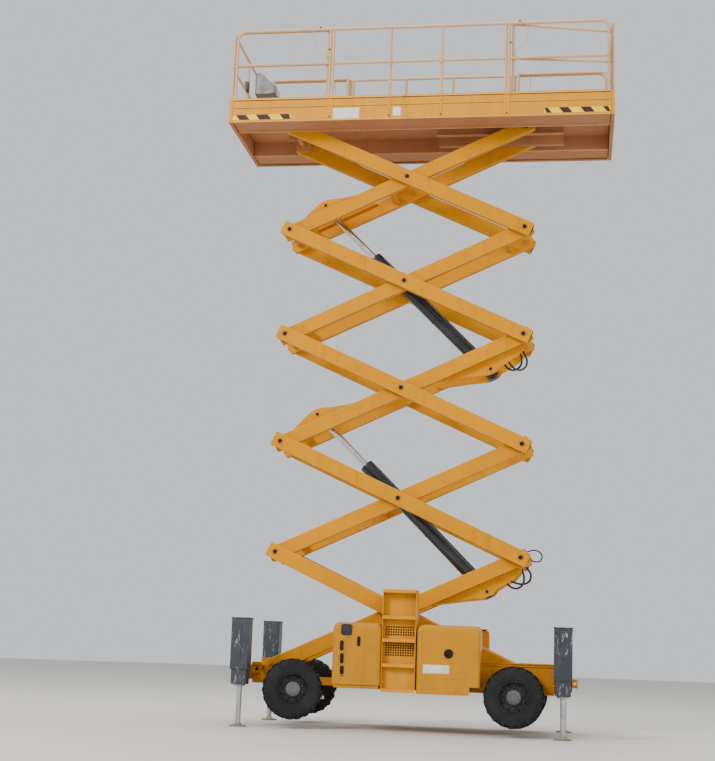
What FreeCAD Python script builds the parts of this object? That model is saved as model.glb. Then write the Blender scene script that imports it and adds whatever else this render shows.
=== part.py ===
import FreeCAD, Part
import os, math
from FreeCAD import Vector as V

# Self-propelled scissor lift for rough ground: four-wheel chassis on four levelling jacks,
# five-stage scissor stack, two lift cylinders, guarded platform with an extension deck at each end.
# Frame: origin on the ground under the middle of the platform, +X to the unsteered end,
# +Y away from the ladder side, +Z up. Millimetres.

os.makedirs("parts", exist_ok=True)
doc = FreeCAD.newDocument("scissor_lift")
sheet = doc.addObject("Spreadsheet::Sheet", "Dims")

# name, value
DIMS = [
    ("pin_span", 3409), ("stage_rise", 1561.9), ("base_pin_x", -1890), ("base_pin_z", 800),
    ("arm_depth", 205), ("arm_thick", 100), ("arm_wall", 8), ("arm_over", 110),
    ("outer_face", 490), ("inner_face", 378), ("boss_rad", 66), ("pin_rad", 45), ("pin_hole", 25),
    ("run_gap", 0.3), ("tube_rad", 57), ("tube_in", 300), ("tube_high", 270), ("tube_mid", 1600), ("cyl_shaft_rad", 40),
    ("lug_thick", 50), ("lug_off", 273),
    ("barrel_rad", 92), ("barrel_bore", 60), ("barrel_len", 2480), ("rod_rad", 46), ("rod_len", 2390),
    ("eye_width", 150), ("cyl_y", 106),
    ("roller_rad", 72), ("roller_width", 56), ("rail_wall", 12),
    ("plat_half", 2715.5), ("plat_y", 950), ("plat_low", 8530), ("plat_high", 8895), ("fascia_wall", 12),
    ("deck_top", 8811), ("deck_wall", 8), ("rail_top_z", 9940), ("rail_mid_z", 9410), ("tube_r", 21), ("rail_y", 938),
    ("ext_inner", 1290), ("ext_y", 905), ("ext_rail_y", 884), ("ext_beam", 55),
    ("wheel_rad", 400), ("wheel_width", 290), ("wheel_mid_y", 980), ("hub_z", 512), ("rim_rad", 216),
    ("front_axle_x", -1535), ("rear_axle_x", 1473.5), ("king_y", 760), ("steer_rest", 17),
    ("jack_x_front", -2185.5), ("jack_x_rear", 2104.5), ("jack_y", 1000), ("jack_size", 240), ("jack_low", 750),
    ("jack_high", 1420), ("sleeve_size", 206), ("sleeve_low", 550), ("leg_rad", 35), ("leg_top", 835), ("foot_rad", 115),
    ("beam_low", 560), ("beam_high", 660), ("beam_in", 150), ("beam_out", 270), ("beam_x0", -2179.8), ("beam_x1", 2099.8),
    ("side_in", 748), ("side_out", 760), ("side_high", 936.8), ("floor_low", 548),
    ("pod_out", 1100), ("pod_in", 776), ("pod_top", 1411), ("pod_wall", 6), ("pod_round", 95),
    ("podl_x0", -929.5), ("podl_x1", -277), ("podl_low", 600),
    ("podr_x0", 196), ("podr_x1", 1034.5), ("podr_low", 515),
    ("ladder_x0", -271), ("ladder_x1", 180), ("ladder_low", 552), ("ladder_top", 1860),
]
D = {}
for row, (alias, value) in enumerate(DIMS, 1):
    sheet.set("A%d" % row, alias)
    sheet.set("B%d" % row, str(value))
    sheet.setAlias("B%d" % row, alias)
    D[alias] = float(value)
doc.recompute()
arm_len = math.hypot(D["pin_span"], D["stage_rise"])
tilt = math.degrees(math.atan2(D["stage_rise"], D["pin_span"]))
n = len(DIMS) + 1
for alias, formula in (("arm_len", "=sqrt(pin_span * pin_span + stage_rise * stage_rise)"), ("tilt", "=%.9f" % tilt)):
    sheet.set("A%d" % n, alias); sheet.set("B%d" % n, formula); sheet.setAlias("B%d" % n, alias); n += 1
D["arm_len"], D["tilt"] = arm_len, tilt
doc.recompute()

NODES = []          # (node name, object)
serial = [0]

def uid(stem):
    serial[0] += 1
    return "%s_%03d" % (stem, serial[0])

def put(o, prop, v):
    """a number is set as it is; text is a formula over the sheet, $name standing for a cell"""
    if isinstance(v, str):
        o.setExpression(prop, v.replace("$", "Dims."))
    elif prop.startswith("Placement.Base."):
        b = o.Placement.Base
        setattr(b, prop[-1], v)
        o.Placement = FreeCAD.Placement(b, o.Placement.Rotation)
    else:
        setattr(o, prop, v)

def at(o, x=0, y=0, z=0):
    for k, v in (("x", x), ("y", y), ("z", z)):
        if isinstance(v, str) or v:
            put(o, "Placement.Base." + k, v)

def box(l, w, t, x=0, y=0, z=0):
    o = doc.addObject("Part::Box", uid("Block"))
    put(o, "Length", l); put(o, "Width", w); put(o, "Height", t)
    at(o, x, y, z)
    return o

ROT = {"X": FreeCAD.Rotation(V(0, 1, 0), 90), "Y": FreeCAD.Rotation(V(1, 0, 0), -90), "Z": FreeCAD.Rotation()}

def rod(r, length, x=0, y=0, z=0, along="Z"):
    """cylinder whose low end sits at x, y, z"""
    o = doc.addObject("Part::Cylinder", uid("Round"))
    o.Placement = FreeCAD.Placement(V(0, 0, 0), ROT[along])
    put(o, "Radius", r); put(o, "Height", length)
    at(o, x, y, z)
    return o

def cone(r1, r2, length, x=0, y=0, z=0, along="Z"):
    o = doc.addObject("Part::Cone", uid("Taper"))
    o.Placement = FreeCAD.Placement(V(0, 0, 0), ROT[along])
    put(o, "Radius1", r1); put(o, "Radius2", r2); put(o, "Height", length)
    at(o, x, y, z)
    return o

def cut(a, *tools):
    t = tools[0]
    if len(tools) > 1:
        t = doc.addObject("Part::Compound", uid("Tools"))
        t.Links = list(tools)
    o = doc.addObject("Part::Cut", uid("Cut"))
    o.Base, o.Tool = a, t
    return o

def fuse(*parts):
    if len(parts) == 1:
        return parts[0]
    o = doc.addObject("Part::MultiFuse", uid("Fuse"))
    o.Shapes = list(parts)
    o.Refine = True
    return o

def group(*parts):
    o = doc.addObject("Part::Compound", uid("Set"))
    o.Links = list(parts)
    return o

def mirror_y(a):
    o = doc.addObject("Part::Mirroring", uid("Mirror"))
    o.Source = a
    o.Normal = V(0, 1, 0)
    o.Base = V(0, 0, 0)
    return o

def tube(r, wall, length, x, y, z, along="X"):
    return cut(rod(r, length, x, y, z, along), rod("%s - %s" % (r, wall) if isinstance(r, str) or isinstance(wall, str) else r - wall, length, x, y, z, along))

def node(name, o):
    o.Label = name
    NODES.append((name, o))
    return o

def body_pad(name, pts, plane, length, shift=None, mid=False, holes=()):
    """PartDesign body: closed outline of points on an origin plane, padded; holes are (u, v, r)"""
    b = doc.addObject("PartDesign::Body", uid(name))
    pl = [f for f in b.Origin.OriginFeatures if f.Role == plane][0]
    s = b.newObject("Sketcher::SketchObject", uid("Outline"))
    s.AttachmentSupport = [(pl, "")]
    s.MapMode = "FlatFace"
    k = len(pts)
    for i in range(k):
        p, q = pts[i], pts[(i + 1) % k]
        s.addGeometry(Part.LineSegment(V(p[0], p[1], 0), V(q[0], q[1], 0)), False)
    import Sketcher
    for i in range(k):
        s.addConstraint(Sketcher.Constraint("Coincident", i, 2, (i + 1) % k, 1))
    for u, v, r in holes:
        s.addGeometry(Part.Circle(V(u, v, 0), V(0, 0, 1), r), False)
        g = s.GeometryCount - 1
        c = s.addConstraint(Sketcher.Constraint("Radius", g, r))
    pad = b.newObject("PartDesign::Pad", uid("Pad"))
    pad.Profile = s
    put(pad, "Length", length)
    pad.Midplane = mid
    b.Tip = pad
    return b

def body_turn(name, pts):
    """PartDesign body: outline in the XZ plane (u = x radius, v = z) revolved about Z"""
    b = doc.addObject("PartDesign::Body", uid(name))
    pl = [f for f in b.Origin.OriginFeatures if f.Role == "XZ_Plane"][0]
    zax = [f for f in b.Origin.OriginFeatures if f.Role == "Z_Axis"][0]
    s = b.newObject("Sketcher::SketchObject", uid("Profile"))
    s.AttachmentSupport = [(pl, "")]
    s.MapMode = "FlatFace"
    import Sketcher
    k = len(pts)
    for i in range(k):
        p, q = pts[i], pts[(i + 1) % k]
        s.addGeometry(Part.LineSegment(V(p[0], p[1], 0), V(q[0], q[1], 0)), False)
    for i in range(k):
        s.addConstraint(Sketcher.Constraint("Coincident", i, 2, (i + 1) % k, 1))
    rv = b.newObject("PartDesign::Revolution", uid("Turn"))
    rv.Profile = s
    rv.ReferenceAxis = (zax, [""])
    rv.Angle = 360
    b.Tip = rv
    return b

def place(o, x, y, z, axis=None, angle=0):
    o.Placement = FreeCAD.Placement(V(x, y, z), FreeCAD.Rotation(V(*axis), angle) if axis else FreeCAD.Rotation())
    return o

# ---------------------------------------------------------------- scissor arms
# An arm is a box section along +X from its lower pin (0) to its upper pin (arm_len),
# open at both ends, with a boss round each of its three pins.
def arm(face, low_bore, mid_bore, high_bore, lugs=()):
    y0 = "-$%s" % face
    shell = cut(box("$arm_len + 2 * $arm_over", "$arm_thick", "$arm_depth", "-$arm_over", y0, "-$arm_depth / 2"),
                box("$arm_len + 2 * $arm_over + 40", "$arm_thick - 2 * $arm_wall", "$arm_depth - 2 * $arm_wall",
                    "-$arm_over - 20", "-$%s + $arm_wall" % face, "-$arm_depth / 2 + $arm_wall"))
    bosses = [rod("$boss_rad", "$arm_thick", x, y0, 0, "Y") for x in (0, "$arm_len / 2", "$arm_len")]
    solid = fuse(shell, *(bosses + list(lugs)))
    bores = [rod(r, "$arm_thick + 20", x, y0 + " - 10", 0, "Y")
             for r, x in ((low_bore, 0), (mid_bore, "$arm_len / 2"), (high_bore, "$arm_len"))]
    return cut(solid, *bores)

FIX = "$pin_rad + 0.2"                 # pin held in its arm
RUN = "$pin_rad + $run_gap"            # pin turning in its arm

# lug outlines in arm coordinates (along, up), each with its pin (along, up)
LUG_UP = [(2326, -62), (2366, -90), (2796, -212), (3066, -298), (3201, -298), (3276, -254), (3556, -220), (3686, -160), (3716, -90), (3716, -62)]
LUG_LOW = [(130, 62), (130, 90), (400, 205), (550, 258), (680, 258), (860, 195), (1280, 90), (1320, 62)]
PIN_UP, PIN_LOW = (3136, -230), (615, 185)

def lug(points, pin):
    b = body_pad("Lug", [(u, v) for u, v in points], "XZ_Plane", "$lug_thick", holes=[(pin[0], pin[1], D["cyl_shaft_rad"] + 0.2)])
    b.Placement = FreeCAD.Placement(V(0, -(D["lug_off"] - D["lug_thick"]), 0), FreeCAD.Rotation())
    return b

STAGES = 5
PX, PZ = D["base_pin_x"], D["base_pin_z"]

def inner_node(i):
    low = RUN
    def lugs_of(i):
        ls = []
        if i in (1, 3):
            ls += [lug(LUG_UP, PIN_UP), box(1180, 8, 34, 2446, -280, -97)]
        if i in (3, 5):
            ls += [lug(LUG_LOW, PIN_LOW), box(1080, 8, 34, 160, -280, 63)]
        return ls
    high = RUN if i < STAGES else FIX
    near = arm("inner_face", low, RUN, high, lugs_of(i))
    far = mirror_y(near)
    parts = [near, far]
    # welded cross tubes near both ends
    inner_half = D["inner_face"] - D["arm_thick"]
    for x in ("$tube_in", "$tube_mid" if i in (2, STAGES) else "$arm_len - $tube_high"):
        parts.append(cut(rod("$tube_rad", 2 * inner_half - 0.4, x, -inner_half + 0.2, 0, "Y"),
                         rod("$tube_rad - 8", 2 * inner_half, x, -inner_half, 0, "Y")))
    # shafts that carry the lift cylinders
    span = D["lug_off"]
    pins = ([PIN_UP] if i in (1, 3) else []) + ([PIN_LOW] if i in (3, 5) else [])
    # where a cylinder's open end floats, its shaft is left out over the cylinder's width
    gap = {(3, "up"): (-1, 213), (3, "low"): (-213, 1)}
    for a, b in pins:
        g = gap.get((i, "up" if b < 0 else "low"))
        runs = [(-span - 3, span + 3)] if g is None else [(-span - 3, g[0]), (g[1], span + 3)]
        for lo, hi in runs:
            parts.append(rod("$cyl_shaft_rad", hi - lo, a, lo, b, "Y"))
    if i == STAGES:
        # stub axles of the platform rollers, inboard of the arms
        for lo in (-381, 205):
            parts.append(cut(rod("$pin_rad", 176, "$arm_len", lo, 0, "Y"), rod("$pin_hole", 200, "$arm_len", lo - 12, 0, "Y")))
    if i in (1, 3):
        # brackets that hold the ends of the hose loops, on the arm and on its lug
        a0, a1, a2, a3 = (3675, 3785, 3398, 3496) if i == 1 else (3590, 3685, 3320, 3448)
        parts.append(box(a1 - a0, 228, 36, a0, -277.8, -84.9))
        parts.append(box(a3 - a2, 172, 36, a2, -222.8, -150))
    if i == 1:
        parts.append(box(10, 83, 188.6, 3822, -369.5, -94.3))
    o = group(*parts)
    o.Placement = FreeCAD.Placement(V(PX, 0, PZ + (i - 1) * D["stage_rise"]), FreeCAD.Rotation(V(0, -1, 0), tilt))
    o.setExpression("Placement.Rotation.Angle", "Dims.tilt * 1 deg")
    return node("inner_arms_%d" % i, o)

def outer_node(i):
    near = arm("outer_face", FIX, FIX, FIX)
    far = mirror_y(near)
    parts = [near, far]
    # local X runs from the upper left pin to the lower right pin
    full = D["outer_face"] + 4
    stub_in = D["inner_face"] - D["arm_thick"] - 8
    parts.append(cut(rod("$pin_rad", 2 * full, 0, -full, 0, "Y"), rod("$pin_hole", 2 * full + 40, 0, -full - 20, 0, "Y")))
    for x, out in (("$arm_len / 2", full), ("$arm_len", 575 if i == 1 else full)):
        low = 397 if (i == 1 and out == 575) else stub_in
        for s in (-1, 1):
            y0 = -out if s < 0 else low
            parts.append(cut(rod("$pin_rad", out - low, x, y0, 0, "Y"), rod("$pin_hole", out - low + 40, x, y0 - 20, 0, "Y")))
    o = group(*parts)
    o.Placement = FreeCAD.Placement(V(PX, 0, PZ + i * D["stage_rise"]), FreeCAD.Rotation(V(0, -1, 0), -tilt))
    o.setExpression("Placement.Rotation.Angle", "Dims.tilt * 1 deg")
    o.Placement = FreeCAD.Placement(V(PX, 0, PZ + i * D["stage_rise"]), FreeCAD.Rotation(V(0, 1, 0), tilt))
    return node("outer_arms_%d" % i, o)

for i in range(1, STAGES + 1):
    inner_node(i)
    outer_node(i)

# rollers: the first outer pair rolls in the chassis rails, the last inner pair in the platform rails
def roller_pair(name, x, z, y_in, y_out):
    ps = []
    for lo in (-y_out, y_in):
        ps.append(cut(rod("$roller_rad", y_out - y_in, x, lo, z, "Y"), rod("$pin_rad + $run_gap", y_out - y_in + 20, x, lo - 10, z, "Y")))
    return node(name, group(*ps))

ROLLER_X = PX + D["pin_span"]
TOP_Z = PZ + STAGES * D["stage_rise"]
roller_pair("chassis_rollers", ROLLER_X, PZ, 509, 565)
roller_pair("platform_rollers", ROLLER_X, TOP_Z, 209, 265)

# ---------------------------------------------------------------- lift cylinders
# built along +X from the base pin, then turned to the line between its two pins
def arm_point(i, a, b):
    c, s = math.cos(math.radians(tilt)), math.sin(math.radians(tilt))
    return PX + a * c - b * s, PZ + (i - 1) * D["stage_rise"] + a * s + b * c

def lift_cylinder(tag, i, y):
    bx, bz = arm_point(i, *PIN_UP)
    ex, ez = arm_point(i + 2, *PIN_LOW)
    length = math.hypot(ex - bx, ez - bz)
    ang = math.degrees(math.atan2(ez - bz, ex - bx))
    w = D["eye_width"]
    outer = fuse(rod("$barrel_rad", "$barrel_len - 40", 40, 0, 0, "X"),
                 rod("$barrel_rad + 10", 110, "$barrel_len - 110", 0, 0, "X"),
                 rod(88, "$eye_width", 0, -w / 2, 0, "Y"))
    barrel = cut(outer, rod("$barrel_bore", "$barrel_len - 110 - 130", 130, 0, 0, "X"),
                 rod("$rod_rad + 0.5", 400, "$barrel_len - 200", 0, 0, "X"),
                 rod("$cyl_shaft_rad + $run_gap", 400, 0, -200, 0, "Y"))
    rodbody = fuse(rod("$rod_rad", "$rod_len", length - D["rod_len"], 0, 0, "X"),
                   rod("$barrel_bore - 0.5", 90, length - D["rod_len"], 0, 0, "X"),
                   rod(60, "$eye_width - 30", length, -w / 2 + 15, 0, "Y"))
    ram = cut(rodbody, rod("$cyl_shaft_rad + $run_gap", 400, length, -200, 0, "Y"))
    rot = FreeCAD.Rotation(V(0, -1, 0), ang)
    for o in (barrel, ram):
        o.Placement = FreeCAD.Placement(V(bx, y, bz), rot)
    node(tag + "_cylinder_barrel", barrel)
    node(tag + "_cylinder_rod", ram)
    print("CYL", tag, "base", round(bx, 2), round(bz, 2), "eye", round(ex, 2), round(ez, 2), "len", round(length, 2), "ang", round(ang, 3))

lift_cylinder("lower", 1, -D["cyl_y"])
lift_cylinder("upper", 3, D["cyl_y"])

# ---------------------------------------------------------------- chassis
so, si, fl = D["side_out"], D["side_in"], D["floor_low"]
bi, bo = D["beam_in"], D["beam_out"]
G = 0.2                                # seam between welded plates
plates = []
for s in (-1, 1):
    def yy(a, b):                      # start and width of a strip from |y| a to b on side s
        return (-b if s < 0 else a), b - a
    y0, w = yy(bi, bo)
    plates.append(cut(box("$beam_x1 - $beam_x0", "$beam_out - $beam_in", "$beam_high - $beam_low", "$beam_x0", y0, "$beam_low"),
                      box("$beam_x1 - $beam_x0 + 40", "$beam_out - $beam_in - 16", "$beam_high - $beam_low - 16", "$beam_x0 - 20", y0 + 8, "$beam_low + 8")))
    # bracket plate of the fixed scissor pin, beside the inner arm
    y0, w = yy(245, 270)
    plates.append(cut(box(360, w, 905 - 660 - G, -2060, y0, 660 + G), rod("$pin_rad + $run_gap", 60, "$base_pin_x", y0 - 15, "$base_pin_z", "Y")))
    # side plate with the scissor rail, from the pods to the rear jacks, and its top strip
    y0, w = yy(si, so)
    plates.append(box(1745, w, "$side_high - $floor_low", 240, y0, "$floor_low"))
    y0, w = yy(501, si - G)
    for z in (PZ + 73, PZ - 73 - 12):
        plates.append(box(1745, w, "$rail_wall", 240, y0, z))
    y0, w = yy(740, 774)
    plates.append(box(940, w, 10, 1045, y0, 937))
    # outriggers from the beam to the side plates
    y0, w = yy(bo + G, si - G)
    for x, dx, top in ((-950, 90, 635), (-60, 90, 635), (640, 90, 635), (1428, 90, 620), (1860, 125, 660)):
        plates.append(box(dx, w, top - 560, x, y0, 560))
for x, dx, top in ((-2060, 90, 860), (-1610, 70, 640), (-950, 90, 635), (-60, 90, 635), (640, 90, 635), (1428, 90, 620), (1895, 90, 660)):
    plates.append(box(dx, 2 * (bi - G), top - 560, x, -(bi - G), 560))
plates.append(box(2935, 2 * (si - G), 12 - G, -950, -(si - G), "$floor_low"))
# jack beams across both ends, with two tie-down eyes on each
for x0, xe, xb in ((-2300, -2372, -2336), (2100, 2220 + G, 2256)):
    plates.append(cut(box(120, 2 * 879.8, 180, x0, -879.8, 610), box(104, 2 * 900, 164, x0 + 8, -900, 618)))
    for y in (-350, 330):
        plates.append(cut(box(72 - G, 20, 110, xe, y, 645), rod(25, 60, xb, y - 20, 700, "Y")))
chassis = node("chassis_frame", group(*plates))

# fixed scissor pins, one each side
pins = []
for s in (-1, 1):
    y0 = -397 if s < 0 else 233
    pins.append(cut(rod("$pin_rad", 164, "$base_pin_x", y0, "$base_pin_z", "Y"), rod("$pin_hole", 200, "$base_pin_x", y0 - 18, "$base_pin_z", "Y")))
node("base_pins", group(*pins))

JACKS = [("front_left", "jack_x_front", -1), ("front_right", "jack_x_front", 1),
         ("rear_left", "jack_x_rear", -1), ("rear_right", "jack_x_rear", 1)]
housings = []
for tag, xn, s in JACKS:
    x, y = D[xn], s * D["jack_y"]
    h, sl = D["jack_size"] / 2, D["sleeve_size"] / 2
    body = fuse(box("$jack_size", "$jack_size", "$jack_high - $jack_low", "$%s - $jack_size / 2" % xn, y - h, "$jack_low"),
                box("$sleeve_size", "$sleeve_size", "$jack_low - $sleeve_low + 1", "$%s - $sleeve_size / 2" % xn, y - sl, "$sleeve_low"),
                box("$jack_size + 16", "$jack_size + 16", 14, "$%s - $jack_size / 2 - 8" % xn, y - h - 8, "$jack_high - 4"))
    inside = fuse(box("$sleeve_size - 24", "$sleeve_size - 24", "$jack_high - $sleeve_low - 40", "$%s - $sleeve_size / 2 + 12" % xn, y - sl + 12, "$sleeve_low + 22"))
    housings.append(cut(body, inside, rod("$leg_rad + 0.5", 100, "$" + xn, y, "$sleeve_low - 20", "Z")))
    leg = fuse(rod("$leg_rad", "$leg_top - 20", "$" + xn, y, 20, "Z"),
               rod("$foot_rad", 12, "$" + xn, y, 0, "Z"), cone("$foot_rad - 12", 48, 30, "$" + xn, y, 11, "Z"))
    node("jack_leg_" + tag, leg)
node("jack_housings", group(*housings))

# axles
hz = D["hub_z"]
fx, rx, ky = D["front_axle_x"], D["rear_axle_x"], D["king_y"]
front = fuse(box(120, 2 * 725, 109.8, fx - 60, -725, 450), rod(45, 190, fx, -ky, 415, "Z"), rod(45, 190, fx, ky, 415, "Z"))
front = cut(front, rod("25 + $run_gap", 300, fx, -ky, 380, "Z"), rod("25 + $run_gap", 300, fx, ky, 380, "Z"))
rear = fuse(box(120, 2 * 790, 97.8, rx - 60, -790, 450), rod(125, 218.5, rx, -1008.5, hz, "Y"), rod(125, 218.5, rx, 790, hz, "Y"))
node("axles", group(front, rear))

# steering knuckles: kingpin, yoke, lever and hub motor; turned with the front wheels
def knuckle(tag, s):
    k = fuse(rod(25, 270, 0, 0, 375 - 0, "Z"),
             box(150, 118, 22, -75, (-118 + 48 if s < 0 else -48), 611),
             box(150, 118, 22, -75, (-118 + 48 if s < 0 else -48), 387),
             box(150, 18, 246, -75, (-70 if s < 0 else 52), 387),
             rod(125, 181, 0, (-249 if s < 0 else 68), hz, "Y"),
             box(190, 56, 22, 0, (-28 - s * 0), 387))
    k.Placement = FreeCAD.Placement(V(fx, s * ky, 0), FreeCAD.Rotation(V(0, 0, 1), D["steer_rest"]))
    return node("knuckle_" + tag, k)

knuckle("left", -1)
knuckle("right", 1)

# steering cylinder on the axle and its rod, which runs through to both knuckle levers
lx = fx + 165 * math.cos(math.radians(D["steer_rest"]))
dy = 165 * math.sin(math.radians(D["steer_rest"]))
scyl = fuse(rod(42, 520, lx, -260, 362, "Y"), box(60, 60, 87.8, lx - 30, -200, 362), box(60, 60, 87.8, lx - 30, 140, 362),
            box(lx - fx, 60, 30, fx, -200, 419.8), box(lx - fx, 60, 30, fx, 140, 419.8))
node("steering_cylinder", cut(scyl, rod(18 + 0.5, 700, lx, -350, 362, "Y")))
srod = fuse(rod(18, 2 * ky, lx, -ky + dy, 362, "Y"),
            rod(34, 44, lx, -ky + dy, 338, "Z"), rod(34, 44, lx, ky + dy, 338, "Z"))
node("steering_rod", srod)

# wheels, each turned about its own axle line (Z in the profile, then laid along Y)
R, Wd, rim = D["wheel_rad"], D["wheel_width"], D["rim_rad"]
TYRE = [(rim, -Wd / 2 + 22), (rim, Wd / 2 - 22), (rim + 28, Wd / 2 - 6), (R - 92, Wd / 2), (R - 34, Wd / 2 - 8), (R - 6, Wd / 2 - 36),
        (R, 0), (R - 6, -Wd / 2 + 36), (R - 34, -Wd / 2 + 8), (R - 92, -Wd / 2), (rim + 28, -Wd / 2 + 6)]
# outer side is +v; disc sits outboard, hub stands proud of it
RIM = [(0, 38), (0, 122), (62, 122), (88, 108), (98, 88), (98, 62), (176, 52), (184, 62), (190, Wd / 2 - 24), (rim - 1, Wd / 2 - 20),
       (rim - 0.3, Wd / 2 - 23), (rim - 0.3, -Wd / 2 + 23), (rim - 1, -Wd / 2 + 20), (190, -Wd / 2 + 24), (182, 38), (150, 30)]
WHEELS = [("front_left", "f", -1), ("front_right", "f", 1), ("rear_left", "r", -1), ("rear_right", "r", 1)]
for tag, end, s in WHEELS:
    off = D["wheel_mid_y"] - D["king_y"]
    if end == "f":
        a = math.radians(D["steer_rest"])
        ux, uy = (math.sin(a), -math.cos(a)) if s < 0 else (-math.sin(a), math.cos(a))
        c = V(fx + off * ux, s * ky + off * uy, hz)
        out = V(ux, uy, 0)
    else:
        c = V(rx, s * D["wheel_mid_y"], hz)
        out = V(0, s, 0)
    rot = FreeCAD.Rotation(V(0, 0, 1), out)
    for kind, prof in (("tyre", TYRE), ("rim", RIM)):
        b = body_turn(kind, prof)
        b.Placement = FreeCAD.Placement(c, rot)
        node("%s_%s" % (kind, tag), b)
    print("WHEEL", tag, [round(t, 2) for t in c], [round(t, 5) for t in out])

# pod frames: tray and inner wall each side, with what stands in the pods
frames = []
for s in (-1, 1):
    wy = -772 if s < 0 else 762
    frames.append(box(1960, 10, 820, -925, wy, "$floor_low + 12.2"))
    ty = -1086 if s < 0 else 772.2
    frames.append(box(600, 313.8, 36, -903, ty, 562.2))
    frames.append(box(690, 313.8, 36, 210, ty, 562.2))
node("pod_frames", group(*frames))
node("engine_block", box(600, 270, 520, 260, -1060, 600))
node("fluid_tanks", group(box(540, 270, 620, -870, -1060, 600), box(540, 270, 620, -870, 790, 600), box(600, 270, 420, 260, 790, 600)))

# pod cowls: outer face, rounded top and both ends, open below and inboard
def cowl(tag, x0, x1, low, s, notch=None):
    t, yo, yi, top, rr = D["pod_wall"], D["pod_out"], D["pod_in"], D["pod_top"], D["pod_round"]
    def prof(d, low2, yin):
        pts = [V(0, yin, low2), V(0, yo - d, low2), V(0, yo - d, top - rr)]
        a = Part.Arc(V(0, yo - d, top - rr), V(0, yo - rr + (rr - d) * math.cos(math.pi / 4), top - rr + (rr - d) * math.sin(math.pi / 4)), V(0, yo - rr, top - d))
        es = [Part.LineSegment(pts[0], pts[1]).toShape(), Part.LineSegment(pts[1], pts[2]).toShape(), a.toShape(),
              Part.LineSegment(V(0, yo - rr, top - d), V(0, yin, top - d)).toShape(), Part.LineSegment(V(0, yin, top - d), pts[0]).toShape()]
        return Part.Face(Part.Wire(es))
    shell = prof(0, low, yi).extrude(V(x1 - x0, 0, 0)).cut(prof(t, low - 50, yi - 50).extrude(V(x1 - x0 - 2 * t, 0, 0)).translated(V(t, 0, 0)))
    if notch:
        shell = shell.cut(Part.makeBox(x1 - notch[0] + 10, 500, notch[1] - low + 10, V(notch[0] - x0, 700, low - 10)))
    if s < 0:
        shell = shell.mirror(V(0, 0, 0), V(0, 1, 0))
    # hinge tube along the inner top edge
    shell = shell.fuse(Part.makeCylinder(8, x1 - x0, V(0, -770 if s < 0 else 770, 1403), V(1, 0, 0)))
    o = doc.addObject("Part::Feature", uid("Cowl"))
    o.Shape = shell
    o.Placement = FreeCAD.Placement(V(x0, 0, 0), FreeCAD.Rotation())
    return node("cowl_" + tag, o)

cowl("front_left", D["podl_x0"], D["podl_x1"], D["podl_low"], -1)
cowl("rear_left", D["podr_x0"], D["podr_x1"], D["podr_low"], -1, notch=(896.5, 620))
cowl("front_right", D["podl_x0"], D["podl_x1"], D["podl_low"], 1)
cowl("rear_right", D["podr_x0"], D["podr_x1"], D["podr_low"], 1, notch=(896.5, 620))

# ladder column on the near side: two cheeks, a back and four treads with pierced risers between
lx0, lx1, lz0, lz1 = D["ladder_x0"], D["ladder_x1"], D["ladder_low"], D["ladder_top"]
cols = []
for x in ("$ladder_x0", "$ladder_x1 - 8"):
    cols.append(box(8, 297, "$ladder_top - $ladder_low", x, -1080, "$ladder_low"))
cols.append(box("$ladder_x1 - $ladder_x0", 8, "$ladder_top - $ladder_low", "$ladder_x0", -782.8, "$ladder_low"))
for z in (lz0, 875, 1200, 1500, lz1 - 14):
    cols.append(box("$ladder_x1 - $ladder_x0 - 16.4", 305, 14, "$ladder_x0 + 8.2", -1088, z))
for z0, z1 in ((889.2, 1199.8), (1214.2, 1499.8)):
    cols.append(box("$ladder_x1 - $ladder_x0 - 16.4", 8, z1 - z0, "$ladder_x0 + 8.2", -965, z0))
node("ladder_column", group(*cols))
node("far_locker", box(440, 300, 820, -262, 776, 566))

# ---------------------------------------------------------------- platform
ph, py_, pl_, pt_ = D["plat_half"], D["plat_y"], D["plat_low"], D["plat_high"]
fr = []
for s in (-1, 1):
    def yy(a, b):                      # start and width of a strip from |y| a to b on side s
        return (-b if s < 0 else a), b - a
    def strip(a, b, x0, x1, z0, z1):
        y0, w = yy(a, b)
        return box(x1 - x0, w, z1 - z0, x0, y0, z0)
    y0, w = yy(py_ - 12, py_)
    fr.append(box("2 * $plat_half", "$fascia_wall", "$plat_high - $plat_low - 22 - 2 * 0.2", "-$plat_half", y0, "$plat_low + 8.2"))
    y0, w = yy(py_ - 60, py_)
    fr.append(box("2 * $plat_half", w, 8, "-$plat_half", y0, "$plat_low"))
    y0, w = yy(py_ - 20, py_ + 12)
    fr.append(box("2 * $plat_half", w, 14, "-$plat_half", y0, "$plat_high - 14"))
    fr.append(strip(508, 568, -2550, 2550, 8540, 8766.3))
    # roller rail, a channel open outwards, hung from the ribs, and the bracket of the fixed pin
    fr.append(strip(189, 201, 205, 2055, TOP_Z - 73 + G, TOP_Z + 73 - G))
    fr.append(strip(189, 269, 205, 2055, TOP_Z - 85, TOP_Z - 73))
    fr.append(strip(189, 269, 205, 2055, TOP_Z + 73, TOP_Z + 85))
    fr.append(strip(189, 201, 205, 2055, TOP_Z + 85 + G, 8766.3))
    y0, w = yy(235, 260)
    fr.append(cut(box(230, w, 200, PX - 115, y0, TOP_Z - 103), rod("$pin_rad + $run_gap", 100, PX, y0 - 30, TOP_Z, "Y")))
    fr.append(strip(235, 260, -2045, -1595, TOP_Z + 97 + G, 8766.3))
for x in (-2580, -2050, -1640, -1000, -400, 200, 800, 1400, 2000, 2540):
    fr.append(box(50, 2 * 937.8, 36.5, x, -937.8, 8766.5))
node("platform_frame", group(*fr))
node("platform_deck", box(5230, 2 * 930, "$deck_wall - 0.2", -2615, -930, "$deck_top - $deck_wall + 0.2"))

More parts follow.
